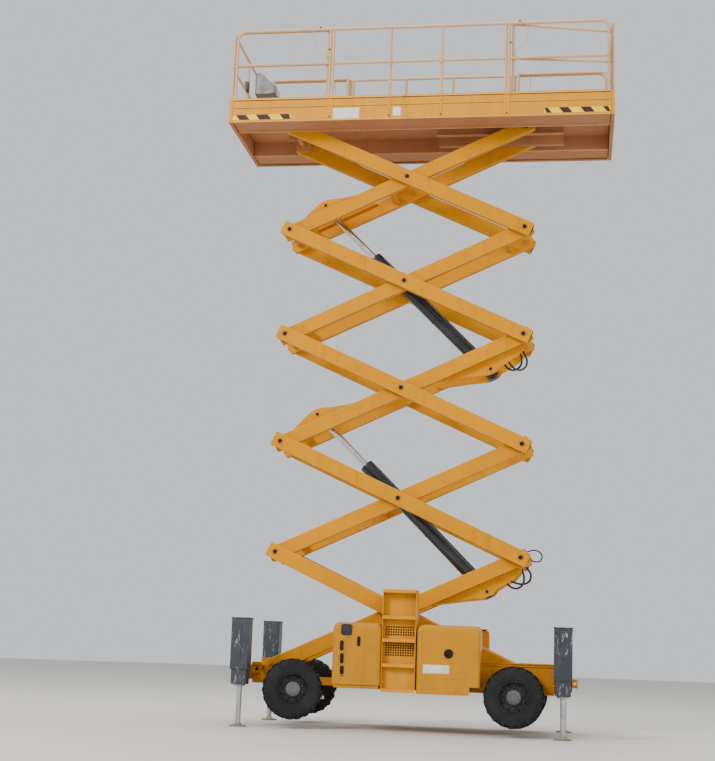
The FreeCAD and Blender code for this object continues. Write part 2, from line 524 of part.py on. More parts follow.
# guardrails: top rails, mid rails and posts
def post(x, y, z0, z1, r="$tube_r"):
    return rod(r, z1 - z0, x, y, z0, "Z")
tr = D["tube_r"]
ry, rt, rm = D["rail_y"], D["rail_top_z"], D["rail_mid_z"]
bend = 120.0
rails, posts = [], []
POSTS = [-1306.5, -418.5, 327.5, 1285.5]
for s in (-1, 1):
    y = s * ry
    rails.append(rod("$tube_r", 2 * (2690 - bend), -(2690 - bend), y, "$rail_top_z", "X"))
    xs = [-2690] + POSTS + [2690]
    for a, b in zip(xs, xs[1:]):
        if s < 0 and a == -418.5:
            continue
        # a mid rail starts and ends on its posts' faces; two of the posts are double
        a2 = a + tr + 0.5 + (46 if a == -1306.5 else 0)
        b2 = b - tr - 0.5 - (46 if b == 1285.5 else 0)
        rails.append(rod("$tube_r - 2", b2 - a2, a2, y, "$rail_mid_z", "X"))
    for x in POSTS:
        low = 8895.2
        yp = y
        if s < 0 and x in (-418.5, 327.5):
            posts.append(post(x, y, low, rt - tr - 0.3))
            posts.append(box(30, 12, 330, x - 15, -py_ - 12.2, 8545))
        else:
            posts.append(post(x, y, low, rt - tr - 0.3))
            if x in (-1306.5, 1285.5):
                posts.append(post(x + (46 if x < 0 else -46), y, low, rt - tr - 0.3))
    for x in (-2690, 2690):
        # corner post with its bend into the top rail
        sx = 1 if x < 0 else -1
        tor = doc.addObject("Part::Torus", uid("Bend"))
        tor.Radius1, tor.Radius2 = bend, tr
        tor.Placement = FreeCAD.Placement(V(x + sx * bend, y, rt - bend), FreeCAD.Rotation(V(1, 0, 0), 90))
        quarter = doc.addObject("Part::Common", uid("Quarter"))
        quarter.Base = tor
        quarter.Tool = box(bend + 40, 100, bend + 40, (x - 40 if sx > 0 else x - bend), y - 50, rt - bend)
        posts.append(fuse(quarter, post(x, y, 8895.2, rt - bend)))
node("guardrails", group(*(rails + posts)))

# entry bar: the mid rail of the entry, which slides up its two posts on collars that are open
# towards the fixed mid rails beside them
bar = fuse(rod(18, 327.5 + 418.5, -418.5, -ry, rm, "X"), rod(32, 90, -418.5, -ry, rm - 45, "Z"), rod(32, 90, 327.5, -ry, rm - 45, "Z"))
node("entry_bar", cut(bar, rod("$tube_r + 0.5", 200, -418.5, -ry, rm - 100, "Z"), rod("$tube_r + 0.5", 200, 327.5, -ry, rm - 100, "Z"),
                      box(40, 50, 120, -418.5 - 40, -ry - 25, rm - 60), box(40, 50, 120, 327.5, -ry - 25, rm - 60)))

# extension decks: plate, toe boards, end beam and the two beams that run under the main deck
def ext_deck(tag, s):
    def bx(l, w, t, x, y, z):
        return box(l, w, t, x if s > 0 else -x - l, y, z)
    ps = [bx(1430.3, 2 * 905, 10, 1290, -905, 8816), bx(51, 2 * 948, 363, 2720.5, -948, 8531)]
    for y in (-905, 895):
        ps.append(bx(1430.3, 10, 39, 1290, y, 8826 + G))
    for y in (-915, 860):
        ps.append(bx(1503.3, 55, 130, 1217, y, 8560))
    node("extension_deck_" + tag, group(*ps))
    ey = D["ext_rail_y"]
    us = []
    X0, X1 = 1345.0, 2745.0
    for y in (-ey, ey):
        # on the ladder side of the rear deck the long rails slope down to their outer end
        slope = 150 if s > 0 and y < 0 else 0
        for z, dr in ((9945, slope), (9425, slope * 0.6)):
            l = math.hypot(X1 - X0 - 50, dr)
            r_ = rod("$tube_r - 3", l, 0, 0, 0, "X")
            a = math.degrees(math.atan2(-dr, X1 - X0 - 50))
            r_.Placement = FreeCAD.Placement(V((X0 + 25) if s > 0 else -(X0 + 25), y, z),
                                             FreeCAD.Rotation(V(0, -1, 0), a if s > 0 else 180 - a).multiply(ROT["X"]))
            us.append(r_)
        us.append(post(s * X0, y, 8865.6, 9965))
        us.append(post(s * X1, y, 8894.3, 9965))
    droop = 110 if s > 0 else 0
    us.append(rod("$tube_r - 3", 2 * ey - 2 * tr - 1, s * X1, -ey + tr + 0.5, 9893 - droop * 0.9, "Y"))
    for y in (-ey + tr + 0.5, tr + 0.5):
        us.append(rod("$tube_r - 3", ey - 2 * tr - 1, s * X1, y, 9368 - droop * 0.55, "Y"))
    us.append(post(s * X1, 0, 8894.3, 9893 - droop * 0.9 - 19))
    node("extension_rails_" + tag, group(*us))

ext_deck("front", -1)
ext_deck("rear", 1)

# control box on the front end rail
case = body_pad("ControlCase", [(-2722, 9515), (-2722, 9850), (-2630, 9850), (-2385, 9640), (-2385, 9515)], "XZ_Plane", 330)
case.Placement = FreeCAD.Placement(V(0, 660, 0), FreeCAD.Rotation())
node("control_box", fuse(case, box(80, 240, 30, -2712, 375, 9848)))

# hoses that hang in loops under the arms: straight runs joined by tangent arcs, each arc as large
# as 0.45 of its shorter run allows; points are (along, up) in the arm's own coordinates
HOSES = [
    ("lower_hose_1", 1, -129, 12, [(3702, -85), (3698, -165), (3682, -250), (3636, -322), (3560, -352), (3485, -325), (3440, -260), (3428, -200), (3426, -150.1)]),
    ("lower_hose_2", 1, -77, 12, [(3758, -85), (3778, -155), (3786, -235), (3752, -305), (3680, -332), (3605, -310), (3540, -262), (3485, -210), (3466, -150.1)]),
    ("end_hose", 1, -328, 7, [(3832.1, 45), (3894, 48), (3964, 30), (4020, -20), (4032, -90), (3982, -142), (3912, -128), (3867, -85), (3832.1, -62)]),
    ("upper_hose_1", 3, -129, 12, [(3655, -85), (3664, -165), (3670, -250), (3652, -335), (3590, -392), (3510, -392), (3450, -340), (3422, -260), (3418, -200), (3416, -150.1)]),
    ("upper_hose_2", 3, -77, 12, [(3615, -85), (3620, -165), (3605, -250), (3560, -320), (3485, -352), (3405, -335), (3360, -270), (3348, -200), (3346, -150.1)]),
]
def hose(name, i, y, r, pts):
    P = [V(a, y, b) for a, b in pts]
    edges, last, least = [], P[0], 1e9
    for k in range(1, len(P) - 1):
        u, v = P[k] - P[k - 1], P[k + 1] - P[k]
        turn = u.getAngle(v)
        t = 0.45 * min(u.Length, v.Length)
        least = min(least, t / math.tan(turn / 2))
        u.normalize(); v.normalize()
        p0, p1 = P[k] - u * t, P[k] + v * t
        m = v - u; m.normalize()
        R_ = t / math.tan(turn / 2)
        mid = P[k] + m * (R_ / math.cos(turn / 2) - R_)
        edges.append(Part.LineSegment(last, p0).toShape())
        edges.append(Part.Arc(p0, mid, p1).toShape())
        last = p1
    edges.append(Part.LineSegment(last, P[-1]).toShape())
    path = Part.Wire(edges)
    ring = Part.Wire([Part.makeCircle(r, P[0], (P[1] - P[0]))])
    solid = path.makePipeShell([ring], True, True)
    want = math.pi * r * r * path.Length
    print("HOSE", name, "length", round(path.Length, 1), "least radius", round(least, 1), "volume ratio", round(solid.Volume / want, 4))
    o = doc.addObject("Part::Feature", uid("Hose"))
    o.Shape = solid
    o.Placement = FreeCAD.Placement(V(PX, 0, PZ + (i - 1) * D["stage_rise"]), FreeCAD.Rotation(V(0, -1, 0), tilt))
    node(name, o)

for h in HOSES:
    hose(*h)

doc.recompute()
bad = []
for o in doc.Objects:
    if any(k in str(st) for st in o.State for k in ("Invalid", "Error")):
        bad.append((o.Name, o.Label, list(o.State)))
if bad:
    raise RuntimeError("failed objects: %s" % bad)
for name, o in NODES:
    sh = o.Shape
    if sh is None or sh.isNull() or not sh.isValid() or not sh.Solids:
        raise RuntimeError("bad shape: " + name)
total = 0
for name, o in NODES:
    o.Shape.exportStep("parts/%s.step" % name)
    b = o.Shape.BoundBox
    total += o.Shape.Volume
    print("%-26s solids %2d  vol %9.4f dm3  x %8.1f %8.1f y %8.1f %8.1f z %8.1f %8.1f" % (name, len(o.Shape.Solids), o.Shape.Volume / 1e6, b.XMin, b.XMax, b.YMin, b.YMax, b.ZMin, b.ZMax))
print("nodes", len(NODES), "volume m3", round(total / 1e9, 4))
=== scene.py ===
import bpy, bmesh, math
from math import sin, cos, pi, radians
from mathutils import Vector, Matrix


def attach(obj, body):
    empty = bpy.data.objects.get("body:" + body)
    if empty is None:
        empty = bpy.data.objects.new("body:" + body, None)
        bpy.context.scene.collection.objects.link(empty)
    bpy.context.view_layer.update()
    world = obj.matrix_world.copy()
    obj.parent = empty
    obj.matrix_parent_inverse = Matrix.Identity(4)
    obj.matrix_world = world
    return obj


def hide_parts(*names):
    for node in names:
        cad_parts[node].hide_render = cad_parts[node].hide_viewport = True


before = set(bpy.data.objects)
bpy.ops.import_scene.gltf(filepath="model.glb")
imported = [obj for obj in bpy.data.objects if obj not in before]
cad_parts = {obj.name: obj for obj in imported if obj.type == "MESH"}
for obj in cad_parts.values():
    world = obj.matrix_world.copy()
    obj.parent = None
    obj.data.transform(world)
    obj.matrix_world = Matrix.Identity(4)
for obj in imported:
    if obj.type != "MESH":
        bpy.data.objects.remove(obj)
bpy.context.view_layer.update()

# ------------------------------------------------------------------ camera
def camera():
    yaw, pitch, roll = 0.15595, 0.19021, 0.03488
    f = Vector((-sin(yaw) * cos(pitch), cos(yaw) * cos(pitch), sin(pitch)))
    r = Vector((cos(yaw), sin(yaw), 0))
    u = r.cross(f)
    r2, u2 = r * cos(roll) + u * sin(roll), u * cos(roll) - r * sin(roll)
    data = bpy.data.cameras.new("camera")
    data.lens, data.sensor_width, data.sensor_fit = 66.295, 36.0, "AUTO"
    data.clip_end = 200
    cam = bpy.data.objects.new("camera", data)
    cam.matrix_world = Matrix(((r2.x, u2.x, -f.x, 2.2212), (r2.y, u2.y, -f.y, -19.7656), (r2.z, u2.z, -f.z, 1.045), (0, 0, 0, 1)))
    bpy.context.collection.objects.link(cam)
    bpy.context.scene.camera = cam

camera()

# ------------------------------------------------------------------ sizes shared with the frame (metres)
PX, PZ, SPAN, RISE = -1.890, 0.8, 3.409, 1.5619
L = math.hypot(SPAN, RISE)
TH = math.atan2(RISE, SPAN)
STAGES = 5
TOP_Z = PZ + STAGES * RISE

def arm_matrix(kind, i):
    """arm coordinates (along, across, up) of stage i, to the frame"""
    s = 1 if kind == "inner" else -1
    o = Vector((PX, 0, PZ + ((i - 1) if s > 0 else i) * RISE))
    return Matrix(((cos(TH), 0, -s * sin(TH), o.x), (0, 1, 0, 0), (s * sin(TH), 0, cos(TH), o.z), (0, 0, 0, 1)))

# ------------------------------------------------------------------ materials
class Mat:
    def __init__(s, name):
        s.mat = bpy.data.materials.new(name)
        s.mat.use_nodes = True
        s.nodes, s.links = s.mat.node_tree.nodes, s.mat.node_tree.links
        s.b = s.nodes["Principled BSDF"]
        s.tc = s.nodes.new("ShaderNodeTexCoord")
        s.obj, s.nrm = s.tc.outputs["Object"], s.tc.outputs["Normal"]

    def put(s, sock, v):
        if isinstance(v, bpy.types.NodeSocket):
            s.links.new(v, sock)
        elif isinstance(v, tuple) and len(v) == 3 and sock.type == "RGBA":
            sock.default_value = (*v, 1)
        else:
            sock.default_value = v

    def noise(s, scale, detail=4.0, rough=0.55, stretch=(1, 1, 1), shift=(0, 0, 0), warp=0.0):
        m = s.nodes.new("ShaderNodeMapping")
        m.inputs["Scale"].default_value, m.inputs["Location"].default_value = stretch, shift
        s.links.new(s.obj, m.inputs["Vector"])
        n = s.nodes.new("ShaderNodeTexNoise")
        s.links.new(m.outputs["Vector"], n.inputs["Vector"])
        for k, v in (("Scale", scale), ("Detail", detail), ("Roughness", rough), ("Distortion", warp)):
            n.inputs[k].default_value = v
        return n.outputs["Fac"]

    def cells(s, scale, feature="F1", stretch=(1, 1, 1)):
        m = s.nodes.new("ShaderNodeMapping")
        m.inputs["Scale"].default_value = stretch
        s.links.new(s.obj, m.inputs["Vector"])
        n = s.nodes.new("ShaderNodeTexVoronoi")
        n.feature = feature
        n.inputs["Scale"].default_value = scale
        s.links.new(m.outputs["Vector"], n.inputs["Vector"])
        return n.outputs["Distance"]

    def wave(s, scale, axis="X", warp=0.0, detail=0.0):
        n = s.nodes.new("ShaderNodeTexWave")
        n.bands_direction = axis
        s.links.new(s.obj, n.inputs["Vector"])
        for k, v in (("Scale", scale), ("Distortion", warp), ("Detail", detail)):
            n.inputs[k].default_value = v
        return n.outputs["Fac"]

    def span(s, v, a, b, lo=0.0, hi=1.0):
        n = s.nodes.new("ShaderNodeMapRange")
        n.clamp = True
        s.links.new(v, n.inputs["Value"])
        for k, x in (("From Min", a), ("From Max", b), ("To Min", lo), ("To Max", hi)):
            n.inputs[k].default_value = x
        return n.outputs["Result"]

    def calc(s, op, a, b=0.0):
        n = s.nodes.new("ShaderNodeMath")
        n.operation = op
        s.put(n.inputs[0], a)
        s.put(n.inputs[1], b)
        return n.outputs[0]

    def axis(s, which, source=None):
        n = s.nodes.new("ShaderNodeSeparateXYZ")
        s.links.new(source or s.obj, n.inputs[0])
        return n.outputs[which]

    def mix(s, fac, a, b, how="MIX"):
        n = s.nodes.new("ShaderNodeMix")
        n.data_type, n.blend_type = "RGBA", how
        s.put(n.inputs[0], fac)
        s.put(n.inputs[6], a)
        s.put(n.inputs[7], b)
        return n.outputs[2]

    def bump(s, hgt, strength, dist):
        n = s.nodes.new("ShaderNodeBump")
        n.inputs["Strength"].default_value, n.inputs["Distance"].default_value = strength, dist
        s.links.new(hgt, n.inputs["Height"])
        return n.outputs["Normal"]

    def done(s, color, rough, normal=None, metal=0.0, coat=0.0, coat_rough=0.2, sheen=0.0, spec=0.5):
        s.put(s.b.inputs["Base Color"], color)
        s.put(s.b.inputs["Roughness"], rough)
        if normal is not None:
            s.links.new(normal, s.b.inputs["Normal"])
        for k, v in (("Metallic", metal), ("Coat Weight", coat), ("Coat Roughness", coat_rough), ("Sheen Weight", sheen), ("Specular IOR Level", spec)):
            s.b.inputs[k].default_value = v
        return s.mat

def tone(c, k):
    return tuple(min(1.0, max(0.0, x * k)) for x in c)

def paint(name, col, rough=0.40, dust=0.30, dirt=0.35, grime=(0.16, 0.075, 0.014), low_dirt=0.0, coat=0.0, chips=0.5, streaks=0.45, warm=None, spec=0.10):
    """sprayed enamel: slow fading, cloudy handling marks, rain streaks, settled dust, small chips"""
    m = Mat(name)
    big = m.noise(0.55, 3)
    mid = m.noise(4.5, 5, 0.6, shift=(3, 1, 2))
    fine = m.noise(55, 4, 0.6)
    c = m.mix(m.span(big, 0.32, 0.68), tone(col, 0.93), tone(col, 1.06))
    c = m.mix(m.span(mid, 0.35, 0.7, 0.0, 0.35), c, warm or (col[0] * 0.86, col[1] * 0.80, col[2] * 0.8))
    c = m.mix(m.span(fine, 0.3, 0.75, 0.0, 0.16), c, tone(col, 0.72))
    # rain streaks that run down the sheet
    st = m.noise(7, 4, 0.7, stretch=(1, 1, 0.09), shift=(5, 2, 0), warp=0.6)
    sp = m.noise(1.1, 2, shift=(0, 4, 1))
    stf = m.calc("MULTIPLY", m.span(st, 0.52, 0.74), m.span(sp, 0.4, 0.7, 0.15, 1.0))
    c = m.mix(m.calc("MULTIPLY", stf, streaks), c, grime)
    # blotches of dirt
    db = m.noise(2.3, 7, 0.72, shift=(8, 8, 8))
    dfac = m.calc("MULTIPLY", m.span(db, 0.5, 0.78), dirt)
    if low_dirt:
        lowz = m.span(m.axis(2), 0.5, 1.35, 1.0, 0.0)
        dfac = m.calc("MAXIMUM", dfac, m.calc("MULTIPLY", m.calc("MULTIPLY", lowz, m.span(mid, 0.25, 0.65, 0.3, 1.0)), low_dirt))
    c = m.mix(dfac, c, (0.30, 0.145, 0.028))
    # dust on what faces up
    up = m.span(m.axis(2, m.nrm), 0.45, 0.98)
    df = m.calc("MULTIPLY", m.calc("MULTIPLY", up, m.span(mid, 0.2, 0.7, 0.45, 1.0)), dust)
    c = m.mix(df, c, (0.58, 0.38, 0.17))
    # chips and scrapes
    ch = m.noise(24, 8, 0.78, shift=(1, 7, 4))
    cf = m.calc("MULTIPLY", m.span(ch, 0.735, 0.76), chips)
    c = m.mix(cf, c, (0.10, 0.055, 0.03))
    sc = m.noise(9, 3, 0.6, stretch=(0.25, 1, 3.2), shift=(2, 9, 5), warp=1.2)
    sf = m.calc("MULTIPLY", m.span(sc, 0.70, 0.76), 0.30)
    c = m.mix(sf, c, tone(col, 1.35))
    r = m.calc("ADD", m.span(mid, 0.3, 0.7, rough - 0.06, rough + 0.10), m.calc("MULTIPLY", df, 0.35))
    r = m.calc("ADD", r, m.calc("MULTIPLY", dfac, 0.3))
    h = m.calc("ADD", m.calc("MULTIPLY", m.noise(220, 2), 0.25), m.calc("MULTIPLY", m.noise(3.0, 2, shift=(6, 6, 6)), 0.9))
    h = m.calc("SUBTRACT", h, m.calc("MULTIPLY", cf, 0.7))
    return m.done(c, r, m.bump(h, 0.25, 0.004), coat=coat, spec=spec)

YEL = (0.645, 0.258, 0.0016)
BUFF = (0.70, 0.298, 0.014)
def steel_dark(name, col, rough=0.55, dustc=(0.34, 0.27, 0.20), amt=0.5, metal=0.0):
    m = Mat(name)
    a, b = m.noise(3, 5, 0.65), m.noise(38, 6, 0.7)
    c = m.mix(m.span(a, 0.3, 0.7), tone(col, 0.7), tone(col, 1.4))
    c = m.mix(m.span(b, 0.55, 0.75, 0, 0.35), c, tone(col, 2.2))
    up = m.span(m.axis(2, m.nrm), -0.1, 0.9, 0.25, 1.0)
    c = m.mix(m.calc("MULTIPLY", m.calc("MULTIPLY", m.span(a, 0.35, 0.7), up), amt), c, dustc)
    return m.done(c, m.span(b, 0.3, 0.7, rough - 0.1, rough + 0.15), m.bump(b, 0.3, 0.003), metal=metal)

def jack_paint():
    m = Mat("jack_enamel")
    a, b = m.noise(2.2, 6, 0.65), m.noise(30, 6, 0.7)
    c = m.mix(m.span(a, 0.3, 0.7), (0.012, 0.0155, 0.0215), (0.036, 0.044, 0.058))
    sc = m.noise(24, 5, 0.78, stretch=(1, 1, 0.30), warp=0.9, shift=(1, 3, 0))
    patch = m.span(m.noise(2.6, 3, 0.5, shift=(4, 0, 2)), 0.42, 0.56, 0.15, 1.0)
    c = m.mix(m.calc("MULTIPLY", m.span(sc, 0.565, 0.66), patch), c, (0.36, 0.40, 0.46))
    c = m.mix(m.span(b, 0.66, 0.74, 0, 0.6), c, (0.32, 0.31, 0.30))
    rust = m.noise(5, 6, 0.75, shift=(7, 2, 3))
    c = m.mix(m.span(rust, 0.64, 0.76, 0, 0.5), c, (0.12, 0.06, 0.03))
    up = m.span(m.axis(2, m.nrm), 0.4, 0.95, 0, 0.6)
    c = m.mix(up, c, (0.30, 0.27, 0.22))
    return m.done(c, m.span(a, 0.3, 0.7, 0.35, 0.6), m.bump(m.calc("ADD", b, m.calc("MULTIPLY", sc, 0.5)), 0.25, 0.003), coat=0.1)

def gloss_black():
    m = Mat("barrel_enamel")
    a, b = m.noise(2.5, 4), m.noise(45, 5, 0.7)
    c = m.mix(m.span(a, 0.3, 0.7), (0.008, 0.009, 0.011), (0.022, 0.024, 0.028))
    c = m.mix(m.span(b, 0.64, 0.78, 0, 0.2), c, (0.12, 0.10, 0.075))
    st = m.noise(6, 5, 0.7, shift=(4, 4, 4), warp=0.4)
    c = m.mix(m.span(st, 0.6, 0.85, 0, 0.12), c, (0.14, 0.12, 0.09))
    return m.done(c, m.span(a, 0.3, 0.7, 0.16, 0.36), m.bump(b, 0.12, 0.002), coat=0.45, coat_rough=0.16, spec=0.3)

def chrome():
    m = Mat("polished_rod")
    a = m.noise(5, 5, 0.6)
    b = m.noise(60, 4, 0.6, stretch=(1, 1, 1))
    c = m.mix(m.span(a, 0.3, 0.75), (0.62, 0.63, 0.65), (0.82, 0.83, 0.85))
    c = m.mix(m.span(b, 0.6, 0.8, 0, 0.3), c, (0.40, 0.37, 0.33))
    return m.done(c, m.span(a, 0.3, 0.7, 0.12, 0.26), m.bump(b, 0.05, 0.001), metal=1.0)

def rod_matt():
    m = Mat("jack_leg_steel")
    a, b = m.noise(6, 5, 0.6), m.noise(50, 4)
    c = m.mix(m.span(a, 0.3, 0.7), (0.34, 0.34, 0.34), (0.56, 0.56, 0.55))
    c = m.mix(m.span(m.axis(2), 0.02, 0.22, 0.75, 0.0), c, (0.40, 0.32, 0.22))
    return m.done(c, m.span(b, 0.3, 0.7, 0.25, 0.45), m.bump(b, 0.1, 0.002), metal=0.75)

def pin_mat():
    m = Mat("pin_end")
    a, b = m.noise(9, 5), m.noise(70, 5, 0.7)
    c = m.mix(m.span(a, 0.3, 0.7), (0.60, 0.44, 0.26), (0.74, 0.58, 0.38))
    c = m.mix(m.span(b, 0.58, 0.74, 0, 0.5), c, (0.26, 0.17, 0.10))
    return m.done(c, m.span(a, 0.3, 0.7, 0.35, 0.55), m.bump(b, 0.2, 0.002), metal=0.15)

# near-black with a little noise: painted shade for bores, hollows, holes and recesses, and the colour of a few small
# dark parts
def dark_mat(name="near_black_and_painted_shade", col=(0.014, 0.008, 0.005)):
    m = Mat(name)
    a = m.noise(12, 4)
    return m.done(m.mix(m.span(a, 0.3, 0.7), col, tone(col, 2.4)), m.span(a, 0.3, 0.7, 0.7, 0.95), m.bump(a, 0.2, 0.002), spec=0.08)

def rubber(name, col, dustc, amt, rough=0.75, grain=260):
    m = Mat(name)
    a, b, g = m.noise(4, 6, 0.7), m.noise(22, 5, 0.7), m.noise(grain, 3)
    c = m.mix(m.span(a, 0.3, 0.7), tone(col, 0.75), tone(col, 1.35))
    c = m.mix(m.calc("MULTIPLY", m.span(b, 0.35, 0.7), amt), c, dustc)
    lowd = m.span(a, 0.45, 0.65, 0, amt * 0.8)
    c = m.mix(lowd, c, dustc)
    return m.done(c, m.span(b, 0.3, 0.7, rough - 0.08, rough + 0.12), m.bump(m.calc("ADD", b, m.calc("MULTIPLY", g, 0.4)), 0.3, 0.003), spec=0.22)

def fabric():
    m = Mat("cover_cloth")
    a = m.noise(7, 5, 0.6)
    w = m.calc("MAXIMUM", m.wave(150, "Y"), m.wave(150, "Z"))
    c = m.mix(m.span(a, 0.3, 0.7), (0.20, 0.21, 0.23), (0.40, 0.41, 0.42))
    c = m.mix(m.calc("MULTIPLY", w, 0.3), c, (0.12, 0.12, 0.13))
    # top faces paler: painted light from above
    up = m.span(m.axis(2, m.nrm), 0.2, 0.95, 0, 0.45)
    c = m.mix(up, c, (0.62, 0.60, 0.57))
    return m.done(c, m.span(a, 0.3, 0.7, 0.75, 0.95), m.bump(m.calc("ADD", a, m.calc("MULTIPLY", w, 0.25)), 0.4, 0.004), sheen=0.3)

def plastic(name, col, rough=0.4, spec=0.5):
    m = Mat(name)
    a, b = m.noise(10, 5), m.noise(180, 3)
    c = m.mix(m.span(a, 0.3, 0.7), tone(col, 0.85), tone(col, 1.15))
    c = m.mix(m.span(m.noise(26, 6, 0.75), 0.62, 0.76, 0, 0.35), c, (0.34, 0.27, 0.19))
    return m.done(c, m.span(a, 0.3, 0.7, rough - 0.08, rough + 0.12), m.bump(b, 0.12, 0.001), spec=spec)

def deck_plate():
    """anti-slip sheet: crossed raised bars"""
    m = Mat("deck_plate")
    a, b = m.noise(1.4, 6, 0.7), m.noise(24, 6, 0.7)
    w = m.calc("MULTIPLY", m.span(m.wave(14, "X"), 0.6, 0.9), m.span(m.wave(14, "Y"), 0.6, 0.9))
    c = m.mix(m.span(a, 0.3, 0.7), (0.20, 0.16, 0.11), (0.36, 0.29, 0.20))
    c = m.mix(m.calc("MULTIPLY", w, 0.6), c, (0.45, 0.40, 0.32))
    c = m.mix(m.span(b, 0.55, 0.75, 0, 0.5), c, (0.12, 0.10, 0.07))
    return m.done(c, m.span(a, 0.3, 0.7, 0.5, 0.8), m.bump(m.calc("ADD", w, m.calc("MULTIPLY", b, 0.3)), 0.5, 0.003))

YELLOW = paint("machine_enamel", YEL, spec=0.05)
# lighter, glossier copy of the enamel for rounded edges, weld beads and lips: painted highlight, with extra chips as
# edge wear
YELLOW_EDGE_HIGHLIGHT = paint("machine_enamel_edge_highlight", (0.66, 0.275, 0.012), rough=0.34, dirt=0.2, chips=0.8, streaks=0.2, spec=0.2)
YELLOW_LOW = paint("machine_enamel_low", (0.535, 0.200, 0.004), low_dirt=0.35, dirt=0.35)
POD = paint("pod_enamel", (0.53, 0.225, 0.004), rough=0.26, low_dirt=0.2, coat=0.22, dust=0.3, chips=0.25, dirt=0.25, spec=0.08)
BUFFM = paint("platform_enamel", BUFF, rough=0.45, dirt=0.35, spec=0.14)
# darker, bluer copy of the platform paint for what lies under the decks: painted shade
UNDER_SHADE = paint("platform_underside_shade", (0.47, 0.205, 0.088), rough=0.6, dirt=0.3, coat=0.0, spec=0.2, grime=(0.14, 0.065, 0.03))
LADDER = paint("ladder_enamel", (0.67, 0.290, 0.008), low_dirt=0.15, dirt=0.22, spec=0.12)
PINY = paint("pin_enamel", (0.50, 0.190, 0.010), rough=0.35, chips=0.9, spec=0.2)
HOLE = dark_mat("riser_shadow", (0.060, 0.028, 0.014))
# paler copy of the platform paint for its flanges, beads and lips: painted highlight
LIP_HIGHLIGHT = paint("platform_lip_highlight", (0.78, 0.43, 0.13), rough=0.42, dirt=0.25)
RAILM = paint("rail_enamel", (0.60, 0.385, 0.205), rough=0.38, dirt=0.2, chips=0.5, spec=0.3, grime=(0.22, 0.13, 0.07))
JACK = jack_paint()
BARREL = gloss_black()
CHROME = chrome()
LEG = rod_matt()
PIN = pin_mat()
# near-black: painted shade inside hollows, bores and holes, and the colour of a few small dark parts
DARK_AND_SHADE = dark_mat()
AXLE = steel_dark("axle_casting", (0.055, 0.052, 0.048))
ENGINE = steel_dark("engine_casting", (0.05, 0.05, 0.052), 0.5)
TANK = steel_dark("tank_sheet", (0.03, 0.03, 0.032), 0.5)
TYRE = rubber("tyre_rubber", (0.0095, 0.0105, 0.0120), (0.080, 0.074, 0.066), 0.10)
RIM = rubber("rim_enamel", (0.012, 0.013, 0.016), (0.085, 0.078, 0.070), 0.18, rough=0.5, grain=90)
HUB = steel_dark("hub_casting", (0.075, 0.073, 0.078), 0.5, dustc=(0.19, 0.17, 0.16), amt=0.4)
RBOLT = steel_dark("rim_bolt", (0.040, 0.040, 0.042), 0.5, dustc=(0.12, 0.105, 0.09), amt=0.3)
FOOT = steel_dark("foot_plate", (0.16, 0.13, 0.10), 0.7, dustc=(0.46, 0.38, 0.28), amt=0.9)
PIND = steel_dark("shaft_steel", (0.050, 0.047, 0.043), 0.45, dustc=(0.20, 0.13, 0.07), amt=0.3, metal=0.3)
HOSE = rubber("hose_rubber", (0.012, 0.012, 0.013), (0.14, 0.11, 0.08), 0.25, rough=0.45)
CLOTH = fabric()
BOXM = plastic("console_case", (0.10, 0.105, 0.11))
BLACKP = plastic("black_plastic", (0.014, 0.014, 0.015), 0.35)
REDP = plastic("stop_button", (0.55, 0.02, 0.015), 0.3)
HAZY = plastic("hazard_yellow", (0.95, 0.64, 0.004), 0.4, 0.06)
HAZD = plastic("hazard_dark", (0.060, 0.022, 0.022), 0.5, 0.15)
PALE = plastic("blank_plate", (0.70, 0.66, 0.58), 0.4)
WHITE = plastic("small_plate", (0.72, 0.70, 0.66), 0.35)
ZINC = steel_dark("zinc_bolt", (0.32, 0.31, 0.28), 0.4, amt=0.3, metal=0.7)
DECK = deck_plate()
ROLLER = steel_dark("roller_steel", (0.22, 0.21, 0.20), 0.4, amt=0.3, metal=0.5)

# ------------------------------------------------------------------ mesh makers
def rbox(x0, x1, y0, y1, z0, z1, r=0.003, seg=2):
    bm = bmesh.new()
    bmesh.ops.create_cube(bm, size=1)
    for v in bm.verts:
        v.co = Vector(((x0 + x1) / 2 + v.co.x * (x1 - x0), (y0 + y1) / 2 + v.co.y * (y1 - y0), (z0 + z1) / 2 + v.co.z * (z1 - z0)))
    r = min(r, 0.45 * min(x1 - x0, y1 - y0, z1 - z0))
    bmesh.ops.bevel(bm, geom=list(bm.edges), offset=r, segments=seg, profile=0.5, affect="EDGES")
    bm.verts.index_update()
    out = [v.co.copy() for v in bm.verts], [[v.index for v in f.verts] for f in bm.faces]
    bm.free()
    return out

def prism(outline, depth, r=0.002, holes=(), seg=1):
    """flat outline in (x, y) with round or given holes, from z 0 to depth, rims eased by r"""
    bm = bmesh.new()
    es = []
    loops = [list(outline)]
    for h in holes:
        if len(h) == 3 and not hasattr(h[0], "__len__"):
            u, v, hr = h
            loops.append([(u + hr * cos(2 * pi * k / 20), v + hr * sin(2 * pi * k / 20)) for k in range(20)])
        else:
            loops.append(list(h))
    for lp in loops:
        vs = [bm.verts.new((p[0], p[1], 0)) for p in lp]
        es += [bm.edges.new((vs[k], vs[(k + 1) % len(vs)])) for k in range(len(vs))]
    bmesh.ops.triangle_fill(bm, use_beauty=True, use_dissolve=False, edges=es)
    got = bmesh.ops.extrude_face_region(bm, geom=list(bm.faces))
    for v in [g for g in got["geom"] if isinstance(g, bmesh.types.BMVert)]:
        v.co.z = depth
    bmesh.ops.recalc_face_normals(bm, faces=list(bm.faces))
    if r > 0:
        rim = [e for e in bm.edges if len(e.link_faces) == 2 and abs(e.verts[0].co.z - e.verts[1].co.z) < 1e-7 and e.calc_face_angle(0) > 1.2]
        bmesh.ops.bevel(bm, geom=rim, offset=r, segments=seg, profile=0.5, affect="EDGES")
    bm.verts.index_update()
    out = [v.co.copy() for v in bm.verts], [[v.index for v in f.verts] for f in bm.faces]
    bm.free()
    return out

